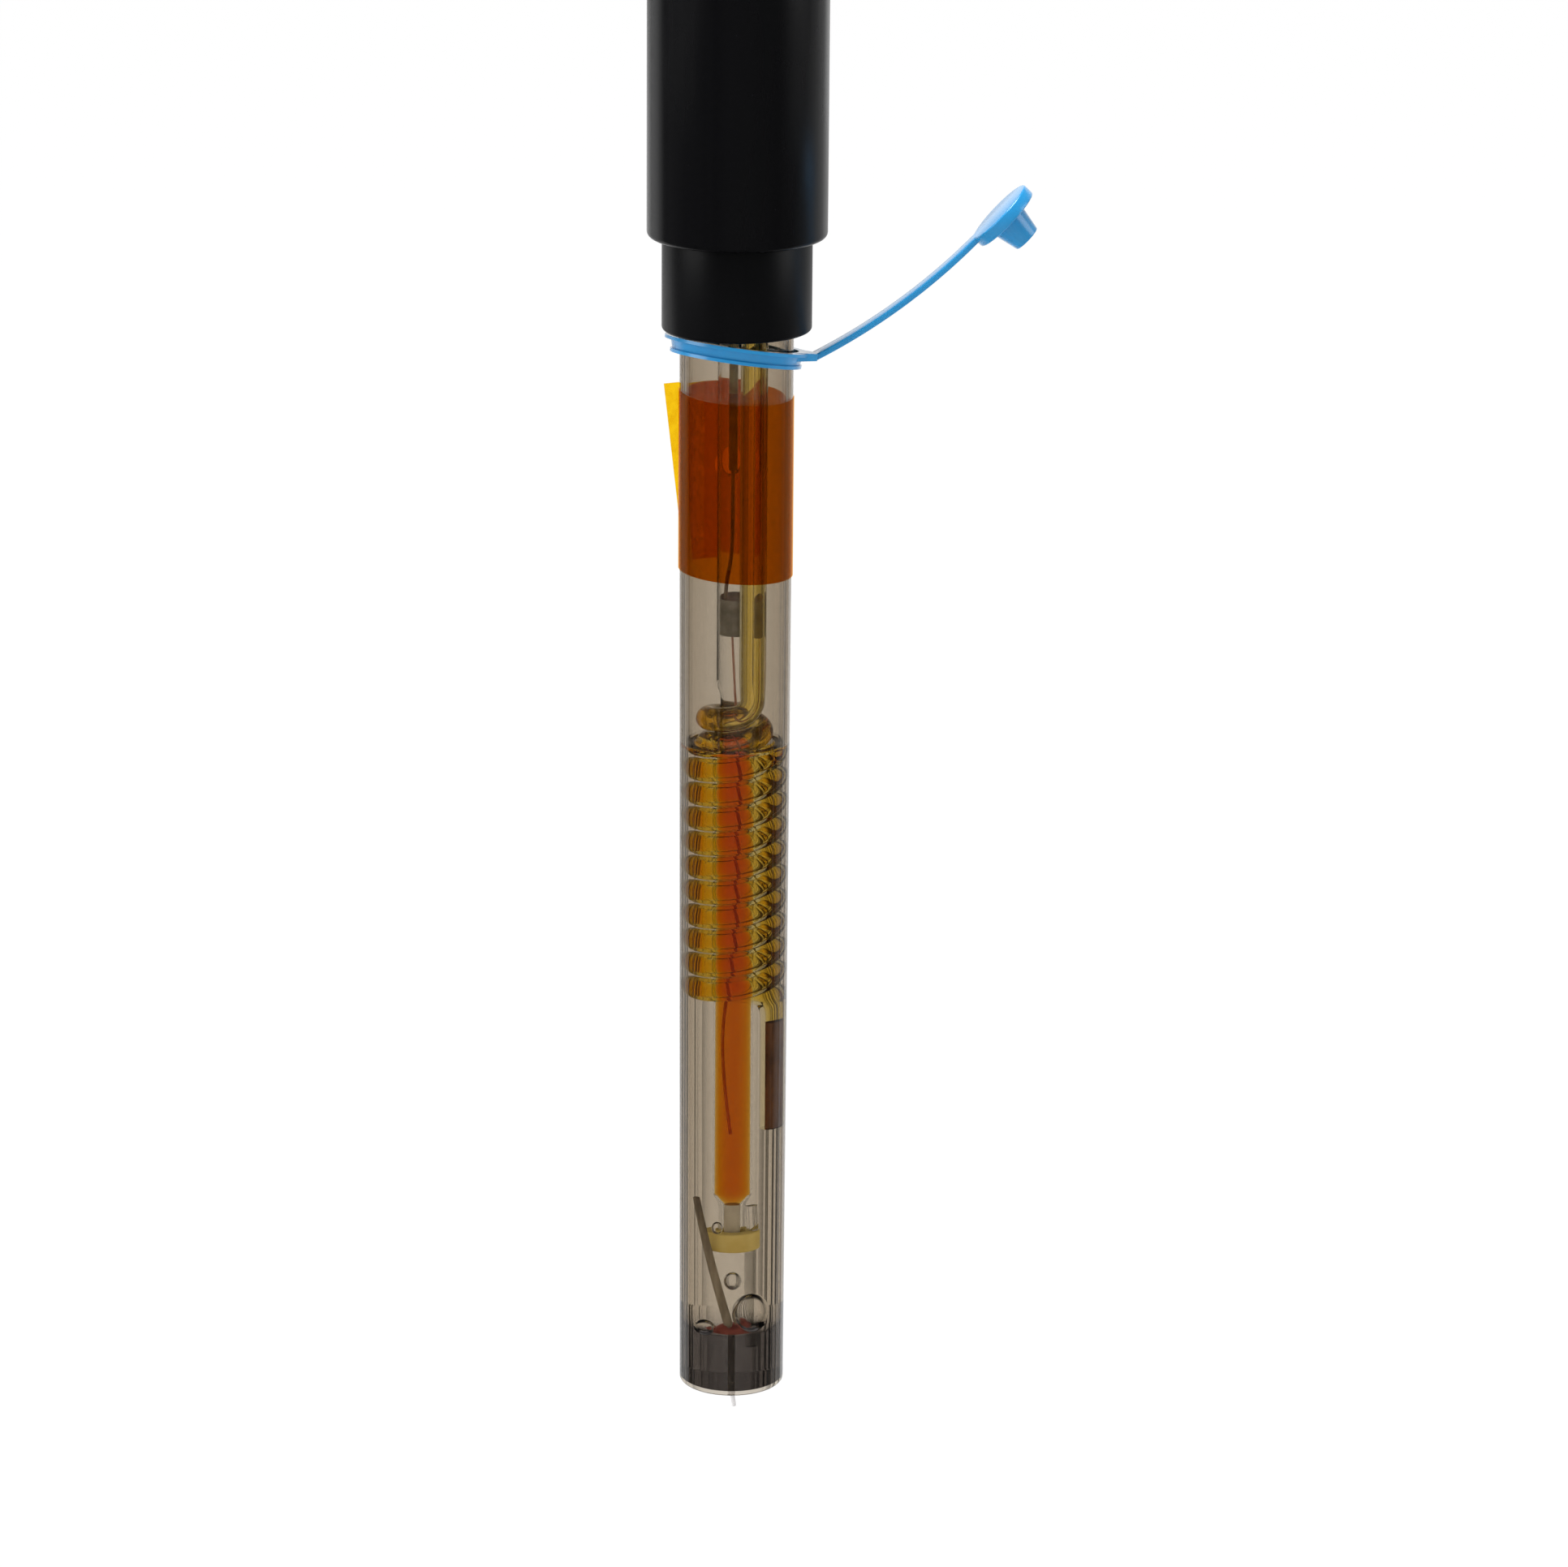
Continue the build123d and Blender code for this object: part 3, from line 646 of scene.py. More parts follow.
drill_bm = bmesh.new()
bmesh.ops.create_cone(
    drill_bm, cap_ends=True, segments=48,
    radius1=mm(HOLE_R), radius2=mm(HOLE_R), depth=mm(body_top_r),
    matrix=Matrix.Translation(mm(0, 0, -HOLE_DROP))
    @ Matrix.Rotation(radians(HOLE_AZIMUTH), 4, "Z")
    @ Matrix.Translation(mm(body_top_r, 0, 0))
    @ Matrix.Rotation(radians(90), 4, "Y"),
)


def cut(piece, tool, operation="DIFFERENCE"):
    """Applies a Boolean to a piece and removes the tool."""
    modifier = piece.modifiers.new("cut", "BOOLEAN")
    modifier.object = tool
    modifier.operation = operation
    modifier.solver = "EXACT"
    bpy.context.view_layer.update()
    graph = bpy.context.evaluated_depsgraph_get()
    result = bpy.data.meshes.new_from_object(piece.evaluated_get(graph))
    piece.modifiers.clear()
    old = piece.data
    piece.data = result
    result.name = old.name + "_cut"
    bpy.data.meshes.remove(old)
    bpy.data.objects.remove(tool)


cut(clear_body, loose(drill_bm, "drill"))
print("body tube faces after the hole:", len(clear_body.data.polygons))

# %% [markdown]
# The stem
# A glassblower makes the stem: a wide upper part, a shoulder, a narrower part inside the
# coil and a drawn neck. Outer and inner outlines are one closed ring, so one spin makes
# both walls.

# %% Make the stem and what is in it
stem_top_z = heights("stem_tube")[1]
stem_foot_z = NECK_TOP_Z + STEM_SHOULDER
coil_top_z = COIL_FOOT_Z + COIL_PITCH * COIL_TURNS
widens_z = coil_top_z + COIL_TUBE_R + 0.6
widened_z = widens_z + STEM_SHOULDER
neck_bore_r = NECK_R - NECK_WALL
stem_bore_r = STEM_R - DRAWN_WALL
stem_bm = spun(
    [
        (neck_bore_r, NECK_FOOT_Z),
        (NECK_R, NECK_FOOT_Z),
        (NECK_R, NECK_TOP_Z),
        (STEM_R, stem_foot_z),
        (STEM_R, widens_z),
        (STEM_TOP_R, widened_z),
        (STEM_TOP_R, stem_top_z),
        (STEM_TOP_R - STEM_WALL, stem_top_z),
        (STEM_TOP_R - STEM_WALL, widened_z),
        (stem_bore_r, widens_z),
        (stem_bore_r, stem_foot_z),
        (neck_bore_r, NECK_TOP_Z),
    ],
    steps=96,
)
for ring_r, ring_z in (
    (STEM_R, stem_foot_z), (NECK_R, NECK_TOP_Z), (STEM_R, widens_z), (STEM_TOP_R, widened_z)
):
    round_ring(stem_bm, ring_r, ring_z, 0.4, 4)
piece_from(stem_bm, "blown_stem", stem_glass, "stem_tube")

column_r = stem_bore_r - FILM
column_bm = spun(
    [
        (0, NECK_TOP_Z + 0.05),
        (neck_bore_r - FILM, NECK_TOP_Z + 0.05),
        (column_r, stem_foot_z),
        (column_r, orange_top_z),
        (column_r * 0.7, orange_top_z - 0.3),
        (0, orange_top_z - 0.42),
    ],
    closed=False,
    steps=96,
)
piece_from(column_bm, "orange_column", orange_liquid, "redox_solution")

# %% [markdown]
# The coil
# The part that takes the most skill on the real electrode: a thin glass tube wound eleven
# and two thirds times round the stem, with a straight tail below and a riser above. Its
# line is worked out by one function: tail, bend, helix, bend, riser. Two skins on that
# line make the glass, and a third, a little smaller than the bore, is the amber liquid.

# %% Make the coil


def coil_line(low_z, high_z, per_turn=56, bend_steps=10):
    """Points of the coil's middle line from a height in the tail to one in the riser."""
    climb = atan2(COIL_PITCH, 2 * pi * COIL_R)

    def on_helix(turn):
        angle = radians(COIL_START) + 2 * pi * turn
        return Vector((COIL_R * cos(angle), COIL_R * sin(angle), COIL_FOOT_Z + COIL_PITCH * turn))

    def bend(from_point, turn, sign):
        angle = radians(COIL_START) + 2 * pi * turn
        level = Vector((-sin(angle), cos(angle), 0))
        points = []
        for step in range(1, bend_steps + 1):
            tilt = climb + (pi / 2 - climb) * step / bend_steps
            along = level * (sin(tilt) - sin(climb))
            rise = Vector((0, 0, cos(climb) - cos(tilt)))
            points.append(from_point + (along + rise) * COIL_BEND_R * sign)
        return points

    steps = round(per_turn * COIL_TURNS)
    turns = [on_helix(COIL_TURNS * i / steps) for i in range(steps + 1)]
    lower = bend(turns[0], 0, -1)
    upper = bend(turns[-1], COIL_TURNS, 1)
    tail_top, riser_foot = lower[-1], upper[-1]
    tail = [Vector((tail_top.x, tail_top.y, low_z + (tail_top.z - low_z) * i / 6)) for i in range(6)]
    taper = Vector((riser_foot.x, riser_foot.y, riser_foot.z + RISER_TAPER))
    riser = [taper, Vector((riser_foot.x, riser_foot.y, high_z))]
    return tail + lower[::-1] + turns + upper + riser, tail_top, riser_foot


tail_low_z, tail_high_z = heights("coil_junction")
glass_line, tail_top, riser_foot = coil_line(tail_low_z, RISER_TOP_Z)
riser_share = RISER_R / COIL_TUBE_R
glass_widths = [1.0] * (len(glass_line) - 2) + [riser_share] * 2
coil_bm = hollow(glass_line, COIL_TUBE_R, COIL_BORE_R, widths=glass_widths)
piece_from(coil_bm, "wound_coil", coil_glass, "coil_tube")

amber_line = coil_line(tail_high_z, heights("coil_solution")[1])[0]
amber_bm = skin(amber_line, COIL_BORE_R - FILM, capped=True)
piece_from(amber_bm, "amber_thread", amber_liquid, "coil_solution")
print("riser stands at", [round(v, 2) for v in riser_foot])

# %% [markdown]
# The filling solution
# The body holds clear salt solution up to the top of the coil. Only its surface bends
# light here, because every wall below it already knows that it is wet. The surface is a
# narrow ring between the coil and the wall, and it climbs a little at both.

# %% Make the filling solution
COIL_REACH = COIL_R + COIL_TUBE_R
MENISCUS = 0.45

salt_material, board = new_material("salt_solution")
x, y, z = board.place()[1:]
at_surface = (z > mm(LIQUID_Z - 0.25)) * ((x * x + y * y).root() > mm(COIL_REACH + 0.06))
board.finish(board.blend(at_surface, board.unbent(), lens(board, LIQUID_INDEX)))

wall_r = bore_r(LIQUID_Z) - 0.02
coil_side_r = COIL_REACH + 0.04
middle_r = (wall_r + coil_side_r) / 2
salt_bm = spun(
    [
        (0, NECK_FOOT_Z - 0.1),
        (NECK_R + 0.04, NECK_FOOT_Z - 0.1),
        (NECK_R + 0.04, NECK_TOP_Z),
        (STEM_R + 0.04, stem_foot_z),
        (STEM_R + 0.04, LIQUID_Z - 1.6),
        (coil_side_r, LIQUID_Z - 1.6),
        (coil_side_r, LIQUID_Z + MENISCUS),
        (coil_side_r + 0.12, LIQUID_Z + 0.3 * MENISCUS),
        (middle_r - 0.1, LIQUID_Z),
        (middle_r + 0.1, LIQUID_Z),
        (wall_r - 0.12, LIQUID_Z + 0.3 * MENISCUS),
        (wall_r, LIQUID_Z + MENISCUS),
        (bore_r(PLUG_HEAD_Z) - 0.02, PLUG_HEAD_Z + PLUG_CREEP + 0.05),
        (1.7, PLUG_HEAD_Z + 1.3),
        (0, PLUG_HEAD_Z + 1.3),
    ],
    closed=False,
    steps=128,
)
piece_from(salt_bm, "salt_solution", salt_material)

# %% [markdown]
# Bubbles
# Air in liquid bends light the other way, so a bubble's index is the liquid's turned
# upside down. The round body widens what is in it, so three bubbles are drawn upright to
# look round through it. The fourth lies low against the plug.

# %% Make the bubbles
BUBBLES = {
    "bubble_high": ((-1.35, -2.7, -100.7), 0.56, 1.3),
    "bubble_middle": ((0.08, -1.6, -107.2), 0.78, 1.35),
    "bubble_right": ((1.6, -0.9, -111.2), 1.6, 1.42),
    "bubble_left": ((-2.35, -1.6, -112.8), 1.0, 0.9),
}
air_material, board = new_material("air_in_liquid")
board.finish(lens(board, 1 / LIQUID_INDEX))
for name, (place, radius, upright) in BUBBLES.items():
    bubble_bm = bmesh.new()
    bmesh.ops.create_uvsphere(bubble_bm, u_segments=40, v_segments=24, radius=mm(radius))
    bmesh.ops.scale(bubble_bm, verts=bubble_bm.verts, vec=(1, 1, upright))
    bmesh.ops.translate(bubble_bm, verts=bubble_bm.verts, vec=mm(*place))
    piece_from(bubble_bm, name, air_material)

# %% [markdown]
# The tip
# Dark resin is cast in the tip. It is clear enough to show the wick inside it as a dark
# line, so it is a tinted volume too. It creeps up the wall and is flat under a red-brown
# bead.

# %% Make the tip's plug and bead
BEAD_R = 1.65
BEAD_HEIGHT = 1.1
RESIN_HEAD_INDEX = 1.015

resin_material, board = new_material("tip_resin")
coordinates, x, y, z = board.place()
radius = (x * x + y * y).root()
at_wall = radius > mm(bore_r(tip_z) - 0.1)
streak = board.noise(coordinates, 900.0, 2.0, (1, 1, 0.02))
resin_relief = board.bump(streak, mm(0.02), 0.4)
foot_face = lens(board, PLASTIC_INDEX, resin_relief)
head_face = lens(board, RESIN_HEAD_INDEX)
end_face = board.blend(z > mm(PLUG_HEAD_Z - 1.0), foot_face, head_face)
board.finish(board.blend(at_wall, end_face, board.unbent()), absorbing(board, (180, 180, 164)))

plug_foot_z = heights("tip_plug")[0]
plug_side = [
    (bore_r(PLUG_HEAD_Z + PLUG_CREEP) - 0.015, PLUG_HEAD_Z + PLUG_CREEP),
    (bore_r(plug_foot_z) - 0.015, plug_foot_z),
    (0, plug_foot_z),
]
creep_reach = bore_r(PLUG_HEAD_Z) - BEAD_R
creep = [
    (BEAD_R + creep_reach * share, PLUG_HEAD_Z + PLUG_CREEP * share**2.6)
    for share in (0, 0.25, 0.45, 0.6, 0.74, 0.86, 0.94)
]
plug_bm = spun([(0, PLUG_HEAD_Z), *creep, *plug_side], closed=False, steps=128)
piece_from(plug_bm, "cast_plug", resin_material, "tip_plug")


def make_solid_finish(name, colour, darker, scale, roughness, relief=0.02, stretch=(1, 1, 1), **extra):
    """Opaque material with a mottled colour and a fine relief at a real scale."""
    material, board = new_material(name)
    coordinates = board.node("ShaderNodeTexCoord", output=3)
    mottle = board.noise(coordinates, scale, 3.0, stretch)
    fine = board.noise(coordinates, scale * 4, 2.0, stretch)
    colour_now = board.tint(mottle.eased(0.35, 0.7), colour, darker)
    normal = board.bump(fine, mm(relief), 0.5)
    rough = roughness + (fine - 0.5) * 0.12
    board.finish(board.surface(Base_Color=colour_now, Roughness=rough, Normal=normal, **extra))
    return material


bead_finish = make_solid_finish("bead_sealant", srgb(186, 104, 94), srgb(140, 66, 58), 700.0, 0.3)
bead_bm = spun(
    [
        (BEAD_R * share, PLUG_HEAD_Z + BEAD_HEIGHT * (1 - share**2.2))
        for share in (0, 0.2, 0.4, 0.6, 0.8, 0.92, 1.0)
    ]
    + [(0, PLUG_HEAD_Z + SLIP)],
    closed=False,
    steps=64,
)
piece_from(bead_bm, "sealant_bead", bead_finish, "tip_bead")

# %% [markdown]
# Wick, wires and small glass
# The wick and the wires are thin round lines, each drawn along a few points. The strand
# that leans in front of the stem's foot is thicker than the thread that leaves the tip.

# %% Make the wick and the wires
THREAD_R = 0.25
STRAND_R = 0.4
STRAND_FOOT = (-0.25, -1.1)
STRAND_TOP = (-3.5, -2.75)
STRAND_LENGTH_Z = 15.2


def make_wick_finish():
    """Twisted fibre: grey-brown where it is soaked, and white outside the tip."""
    material, board = new_material("wick_fibre")
    coordinates, _, _, z = board.place()
    strands = board.noise(coordinates, 900.0, 3.0, (1, 1, 0.2))
    soaked = board.tint(strands.eased(0.35, 0.7), srgb(172, 163, 146), srgb(140, 131, 116))
    clean = board.tint(strands.eased(0.35, 0.7), srgb(246, 244, 244), srgb(226, 224, 224))
    outside = 1 - z.eased(mm(tip_z - 0.6), mm(tip_z + 0.2))
    colour = board.tint(outside, soaked, clean)
    relief = board.bump(strands, mm(0.03), 0.6)
    board.finish(board.surface(Base_Color=colour, Roughness=0.75, Normal=relief))
    return material


wick_finish = make_wick_finish()
strand_foot = (*STRAND_FOOT, PLUG_HEAD_Z + BEAD_HEIGHT)
strand_top = (*STRAND_TOP, strand_foot[2] + STRAND_LENGTH_Z)
thread_line = [
    (0.35, 0, heights("wick")[0]),
    (0.08, 0, tip_z - 1.6),
    (0, 0, tip_z - 0.4),
    (0, 0, PLUG_HEAD_Z + 0.3),
    strand_foot,
]
wick_bm = joined(
    skin(thread_line, THREAD_R, capped=True),
    skin([strand_foot, strand_top], STRAND_R, capped=True),
)
piece_from(wick_bm, "twisted_wick", wick_finish, "wick")

seal_foot_z, seal_head_z = heights("stem_seal")
WIRE_R = 0.13
WIRE_SHARES = [(0, -0.25), (0.05, -0.25), (0.17, 0.12), (0.3, 0.38), (0.48, 0.14)]
WIRE_SHARES += [(0.62, 0.22), (0.73, -0.45), (0.84, -0.84), (1.0, -0.12)]
wire_foot_z, wire_head_z = heights("platinum_wire")
wire_room = stem_bore_r - WIRE_R
wire_line = [
    (side * wire_room, 0, wire_head_z + (wire_foot_z - wire_head_z) * share) for share, side in WIRE_SHARES
]
wire_finish = make_solid_finish("platinum_wire", srgb(232, 172, 150), srgb(206, 142, 120), 500.0, 0.35)
wire_bm = skin(wire_line, WIRE_R, smooth=True, capped=True, around=4)
piece_from(wire_bm, "fine_wire", wire_finish, "platinum_wire")

lead_foot_z, lead_head_z = heights("lead_wire")
LEAD_R = 0.21
SLEEVE_R = 0.475
SLEEVE_BORE_R = 0.215
LEAD_SIDE = -0.3
LEAD_ENTRY = -1.1
lead_line = [
    (LEAD_ENTRY, 0, lead_foot_z),
    (LEAD_ENTRY, 0, seal_head_z + 0.8),
    (LEAD_ENTRY * 0.6 + LEAD_SIDE * 0.4, 0, seal_head_z + 2.6),
    (LEAD_SIDE, 0, seal_head_z + 4.9),
    (LEAD_SIDE, 0, seal_head_z + 9.0),
    (LEAD_SIDE, 0, lead_head_z),
]
lead_finish = make_solid_finish("lead_metal", srgb(176, 162, 138), srgb(146, 132, 110), 400.0, 0.4)
lead_bm = skin(lead_line, LEAD_R, smooth=True, capped=True, around=5)
piece_from(lead_bm, "bare_lead", lead_finish, "lead_wire")
sleeve_finish = make_solid_finish("lead_insulation", srgb(176, 166, 100), srgb(148, 140, 82), 500.0, 0.45)
sleeve_bm = hollow([(LEAD_SIDE, 0, z) for z in heights("lead_sleeve")], SLEEVE_R, SLEEVE_BORE_R)
piece_from(sleeve_bm, "lead_cover", sleeve_finish, "lead_sleeve")

# %% [markdown]
# Seal, junction pieces and rods
# The grey seal has a dished head. The ceramic ring, the porous rod in the coil's tail and
# the short capillary are turned or drawn as the real ones are.

# %% Make the seal and the junction pieces
seal_r = STEM_TOP_R - STEM_WALL
seal_finish = make_solid_finish("grey_seal", srgb(178, 176, 164), srgb(134, 128, 112), 420.0, 0.5, 0.04)
SEAL_DISH = 0.6
seal_bm = spun(
    [(0, seal_foot_z), (seal_r, seal_foot_z), (seal_r, seal_head_z)]
    + [(seal_r * share, seal_head_z - SEAL_DISH * (1 - share**2)) for share in (0.85, 0.6, 0.35, 0)],
    closed=False,
    steps=64,
)
piece_from(seal_bm, "cast_seal", seal_finish, "stem_seal")

ring_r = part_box("junction_ring")[1].x / MM
ring_low_z, ring_high_z = heights("junction_ring")
ring_finish = make_solid_finish("cream_ceramic", srgb(255, 236, 150), srgb(238, 214, 122), 300.0, 0.55, 0.03)
ring_bm = spun(
    [
        (NECK_R, ring_low_z),
        (ring_r, ring_low_z),
        (ring_r, ring_high_z),
        (NECK_R, ring_high_z),
    ],
    steps=64,
)
for edge_z in (ring_low_z, ring_high_z):
    round_ring(ring_bm, ring_r, edge_z, 0.2, 3)
piece_from(ring_bm, "ceramic_ring", ring_finish, "junction_ring")

brown_finish = make_solid_finish(
    "porous_rod", srgb(150, 104, 68), srgb(118, 80, 52), 600.0, 0.75, 0.05, (1, 1, 0.3)
)
junction_line = [(tail_top.x, tail_top.y, z) for z in (tail_low_z, tail_high_z)]
junction_bm = skin(junction_line, COIL_BORE_R - FILM, capped=True)
piece_from(junction_bm, "porous_rod", brown_finish, "coil_junction")

neck_finish = make_solid_finish("porous_plug", srgb(232, 226, 210), srgb(206, 198, 180), 700.0, 0.8, 0.04)
neck_bm = skin([(0, 0, NECK_FOOT_Z), (0, 0, NECK_TOP_Z)], neck_bore_r - SLIP, capped=True)
piece_from(neck_bm, "porous_neck", neck_finish, "neck_plug")

rod_low, rod_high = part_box("support_rod")
rod_x = (rod_low.x + rod_high.x) / 2 / MM
rod_r = (rod_high.x - rod_low.x) / 2 / MM
rod_material, board = new_material("rod_glass")
board.finish(lens(board, GLASS_INDEX / LIQUID_INDEX), absorbing(board, (640, 650, 690)))
rod_bm = skin([(rod_x, 0, z) for z in heights("support_rod")], rod_r, capped=True)
piece_from(rod_bm, "glass_rod", rod_material, "support_rod")

capillary_low, capillary_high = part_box("bridge_capillary")
CAPILLARY_R = 0.475
CAPILLARY_BORE_R = 0.225
CAPILLARY_INDEX = 1.25
capillary_line = [
    (capillary_high.x / MM - CAPILLARY_R, 0, capillary_low.z / MM),
    (capillary_low.x / MM + CAPILLARY_R, 0, capillary_high.z / MM),
]
capillary_material, board = new_material("capillary_glass")
board.finish(lens(board, CAPILLARY_INDEX), absorbing(board, (60, 60, 70)))
capillary_bm = hollow(capillary_line, CAPILLARY_R, CAPILLARY_BORE_R)
piece_from(capillary_bm, "short_capillary", capillary_material, "bridge_capillary")

# %% [markdown]
# The tape
# One wrap of amber film covers the refill hole. It starts and ends at the back, where it
# laps over itself, and its end stands off as a flap. Film is thin, so light goes straight
# through it and is only coloured: each face takes half of the tint.

# %% Make the tape
TAPE_WIDTH = 19.5
TAPE_DROP = 7.0
TAPE_TILT = 3.7
TAPE_START = 70.0
TAPE_LEAVES = 128.0
TAPE_FLAP_TOP = 4.9
TAPE_FLAP_BOTTOM = 2.2
TAPE_THICK = 0.08
FILM_GLOSS = 0.3


def make_film(name, one_layer, grain):
    """Clear coloured film: one layer lets the given share of red, green and blue through."""
    material, board = new_material(name)
    coordinates = board.node("ShaderNodeTexCoord", output=3)
    per_face = tuple(sqrt(share) for share in one_layer)
    through = board.unbent(per_face)
    relief = board.bump(board.noise(coordinates, 300.0, 3.0), mm(0.05), 0.3)
    shine = {"Roughness": 0.12, "Normal": relief}
    gloss = board.node("ShaderNodeBsdfGlossy", {"distribution": "GGX"}, shine)
    leaving = board.node("ShaderNodeNewGeometry", output=BACKFACING)
    fresnel = board.node("ShaderNodeFresnel", None, {"IOR": 1.35, "Normal": relief})
    mirror_share = fresnel * (1 - leaving) * FILM_GLOSS
    film = board.blend(mirror_share, through, gloss)
    if grain:
        speck = board.noise(coordinates, 900.0, 3.0).eased(0.2, 0.8)
        milky = board.node("ShaderNodeBsdfTranslucent", None, [srgb(252, 200, 0)])
        film = board.blend(speck * grain, film, milky)
    board.finish(film)
    return material


film_material = make_film("amber_film", (0.78, 0.38, 0.03), 0)
flap_material = make_film("amber_flap", (0.97, 0.6, 0.01), 0.35)


def tape_layer(inner_r, start, end):
    """Stretch of film between two directions, trimmed askew at both edges."""
    bm = bmesh.new()
    low, high = -TAPE_DROP - 1.25 * TAPE_WIDTH, -TAPE_DROP + 0.25 * TAPE_WIDTH
    turn = Matrix.Rotation(radians(start), 4, "Z")
    corners = [bm.verts.new(turn @ mm(r, 0, z)) for r, z in (
        (inner_r, low), (inner_r + TAPE_THICK, low), (inner_r + TAPE_THICK, high), (inner_r, high)
    )]
    strip = bm.faces.new(corners)
    steps = max(8, round((end - start) / 2))
    result = bmesh.ops.spin(
        bm, geom=[strip, *strip.edges, *corners], cent=(0, 0, 0), axis=(0, 0, 1),
        angle=radians(end - start), steps=steps,
    )
    if end - start == 360:
        last = [f for f in result["geom_last"] if isinstance(f, bmesh.types.BMFace)]
        bmesh.ops.delete(bm, geom=[strip, *last], context="FACES_ONLY")
        bmesh.ops.remove_doubles(bm, verts=bm.verts, dist=mm(0.001))
    return trimmed(bm)


def trimmed(bm):
    """Cuts both long edges of the tape along two parallel slanted planes."""
    middle = mm(0, 0, -TAPE_DROP - TAPE_WIDTH / 2)
    normal = Vector((sin(radians(TAPE_TILT)), 0, cos(radians(TAPE_TILT))))
    for side in (1, -1):
        place = middle + normal * side * mm(TAPE_WIDTH / 2)
        everything = list(bm.verts) + list(bm.edges) + list(bm.faces)
        cut_result = bmesh.ops.bisect_plane(
            bm, geom=everything, dist=mm(0.0001), plane_co=place,
            plane_no=normal * side, clear_outer=True,
        )
        rim = [g for g in cut_result["geom_cut"] if isinstance(g, bmesh.types.BMEdge)]
        bmesh.ops.holes_fill(bm, edges=rim, sides=0)
    bmesh.ops.recalc_face_normals(bm, faces=bm.faces)
    return bm


film_r = body_r(-TAPE_DROP) + SLIP
wrap_bm = tape_layer(film_r, 0, 360)
lap_bm = tape_layer(film_r + TAPE_THICK + SLIP, TAPE_START, TAPE_LEAVES)
piece_from(joined(wrap_bm, lap_bm), "film_wrap", film_material, "fill_hole_tape")

flap_bm = bmesh.new()
leave_angle = radians(TAPE_LEAVES)
leave_r = film_r + 1.5 * TAPE_THICK
out_dir = Vector((-sin(leave_angle), cos(leave_angle), 0))
root = Vector((leave_r * cos(leave_angle), leave_r * sin(leave_angle), 0))
narrowing = (TAPE_FLAP_TOP - TAPE_FLAP_BOTTOM) / TAPE_WIDTH
FLAP_SPARE = 2
flap_top, flap_low = -TAPE_DROP + FLAP_SPARE, -TAPE_DROP - TAPE_WIDTH - FLAP_SPARE
flap_ends = [
    (0, flap_top),
    (TAPE_FLAP_TOP + FLAP_SPARE * narrowing, flap_top),
    (TAPE_FLAP_BOTTOM - FLAP_SPARE * narrowing, flap_low),
    (0, flap_low),
]
flap_corners = [
    flap_bm.verts.new((root + out_dir * reach + Vector((0, 0, z))) * MM) for reach, z in flap_ends
]
flap_face = flap_bm.faces.new(flap_corners)
flap_bm.normal_update()
bmesh.ops.solidify(flap_bm, geom=[flap_face], thickness=mm(TAPE_THICK))
piece_from(trimmed(flap_bm), "film_flap", flap_material)

# %% [markdown]
# Cap, collar and grommet
# The cap is one deep moulding in near-black plastic, a little glossier than the collar.
# Both are spun, and their rims are rounded with a bevel, because a moulded edge is never
# sharp and its thin highlight tells the eye where one piece ends.

# %% Make the cap and the collar


def make_black_plastic(name, roughness, specular):
    """Near-black moulded plastic with faint handling marks."""
    material, board = new_material(name)
    coordinates = board.node("ShaderNodeTexCoord", output=3)
    orange_peel = board.noise(coordinates, 900.0, 2.0)
    wipes = board.noise(coordinates, 160.0, 4.0, (1, 1, 0.15)).eased(0.45, 0.7)
    dust = board.noise(coordinates, 2600.0, 2.0).eased(0.74, 0.8)
    colour = board.tint(dust * 0.5, srgb(10, 10, 12), srgb(40, 40, 44))
    normal = board.bump(orange_peel, mm(0.01), 0.25)
    rough = roughness + wipes * 0.1
    board.finish(board.surface(
        Base_Color=colour, Roughness=rough, Normal=normal, Specular_IOR_Level=specular, IOR=1.45
    ))
    return material


cap_plastic = make_black_plastic("cap_plastic", 0.22, 0.3)
collar_plastic = make_black_plastic("collar_plastic", 0.34, 0.25)

cap_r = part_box("cap_shell")[1].x / MM
cap_foot, cap_top = heights("cap_shell")
CAP_WALL = 1.9
CAP_ROOF = 2.4
INLET_R = 3.2
cap_bm = spun(
    [
        (cap_r - CAP_WALL, cap_foot),
        (cap_r, cap_foot),
        (cap_r, cap_top),
        (INLET_R, cap_top),
        (INLET_R, cap_top - CAP_ROOF),
        (cap_r - CAP_WALL, cap_top - CAP_ROOF),
    ]
)
round_ring(cap_bm, cap_r, cap_foot, 0.6)
round_ring(cap_bm, cap_r, cap_top, 2.2, 10)
round_ring(cap_bm, INLET_R, cap_top, 0.15, 2)
piece_from(cap_bm, "moulded_cap", cap_plastic, "cap_shell")

collar_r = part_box("collar")[1].x / MM
collar_top = heights("collar")[1]
THROAT_R = 5.1
SOCKET_TOP = 8.0
spigot_r = cap_r - CAP_WALL - 0.05
GROOVE_LOW, GROOVE_HIGH, GROOVE_R = 14.0, 15.6, 6.6
collar_bm = spun(
    [
        (body_top_r + SLIP, 0),
        (collar_r, 0),
        (collar_r, cap_foot - SLIP),
        (spigot_r, cap_foot - SLIP),
        (spigot_r, GROOVE_LOW),
        (GROOVE_R, GROOVE_LOW),
        (GROOVE_R, GROOVE_HIGH),
        (spigot_r, GROOVE_HIGH),
        (spigot_r, collar_top),
        (THROAT_R, collar_top),
        (THROAT_R, SOCKET_TOP + SLIP),
        (body_top_r + SLIP, SOCKET_TOP + SLIP),
    ]
)
round_ring(collar_bm, collar_r, 0, 0.35)
round_ring(collar_bm, collar_r, cap_foot - SLIP, 0.25, 3)
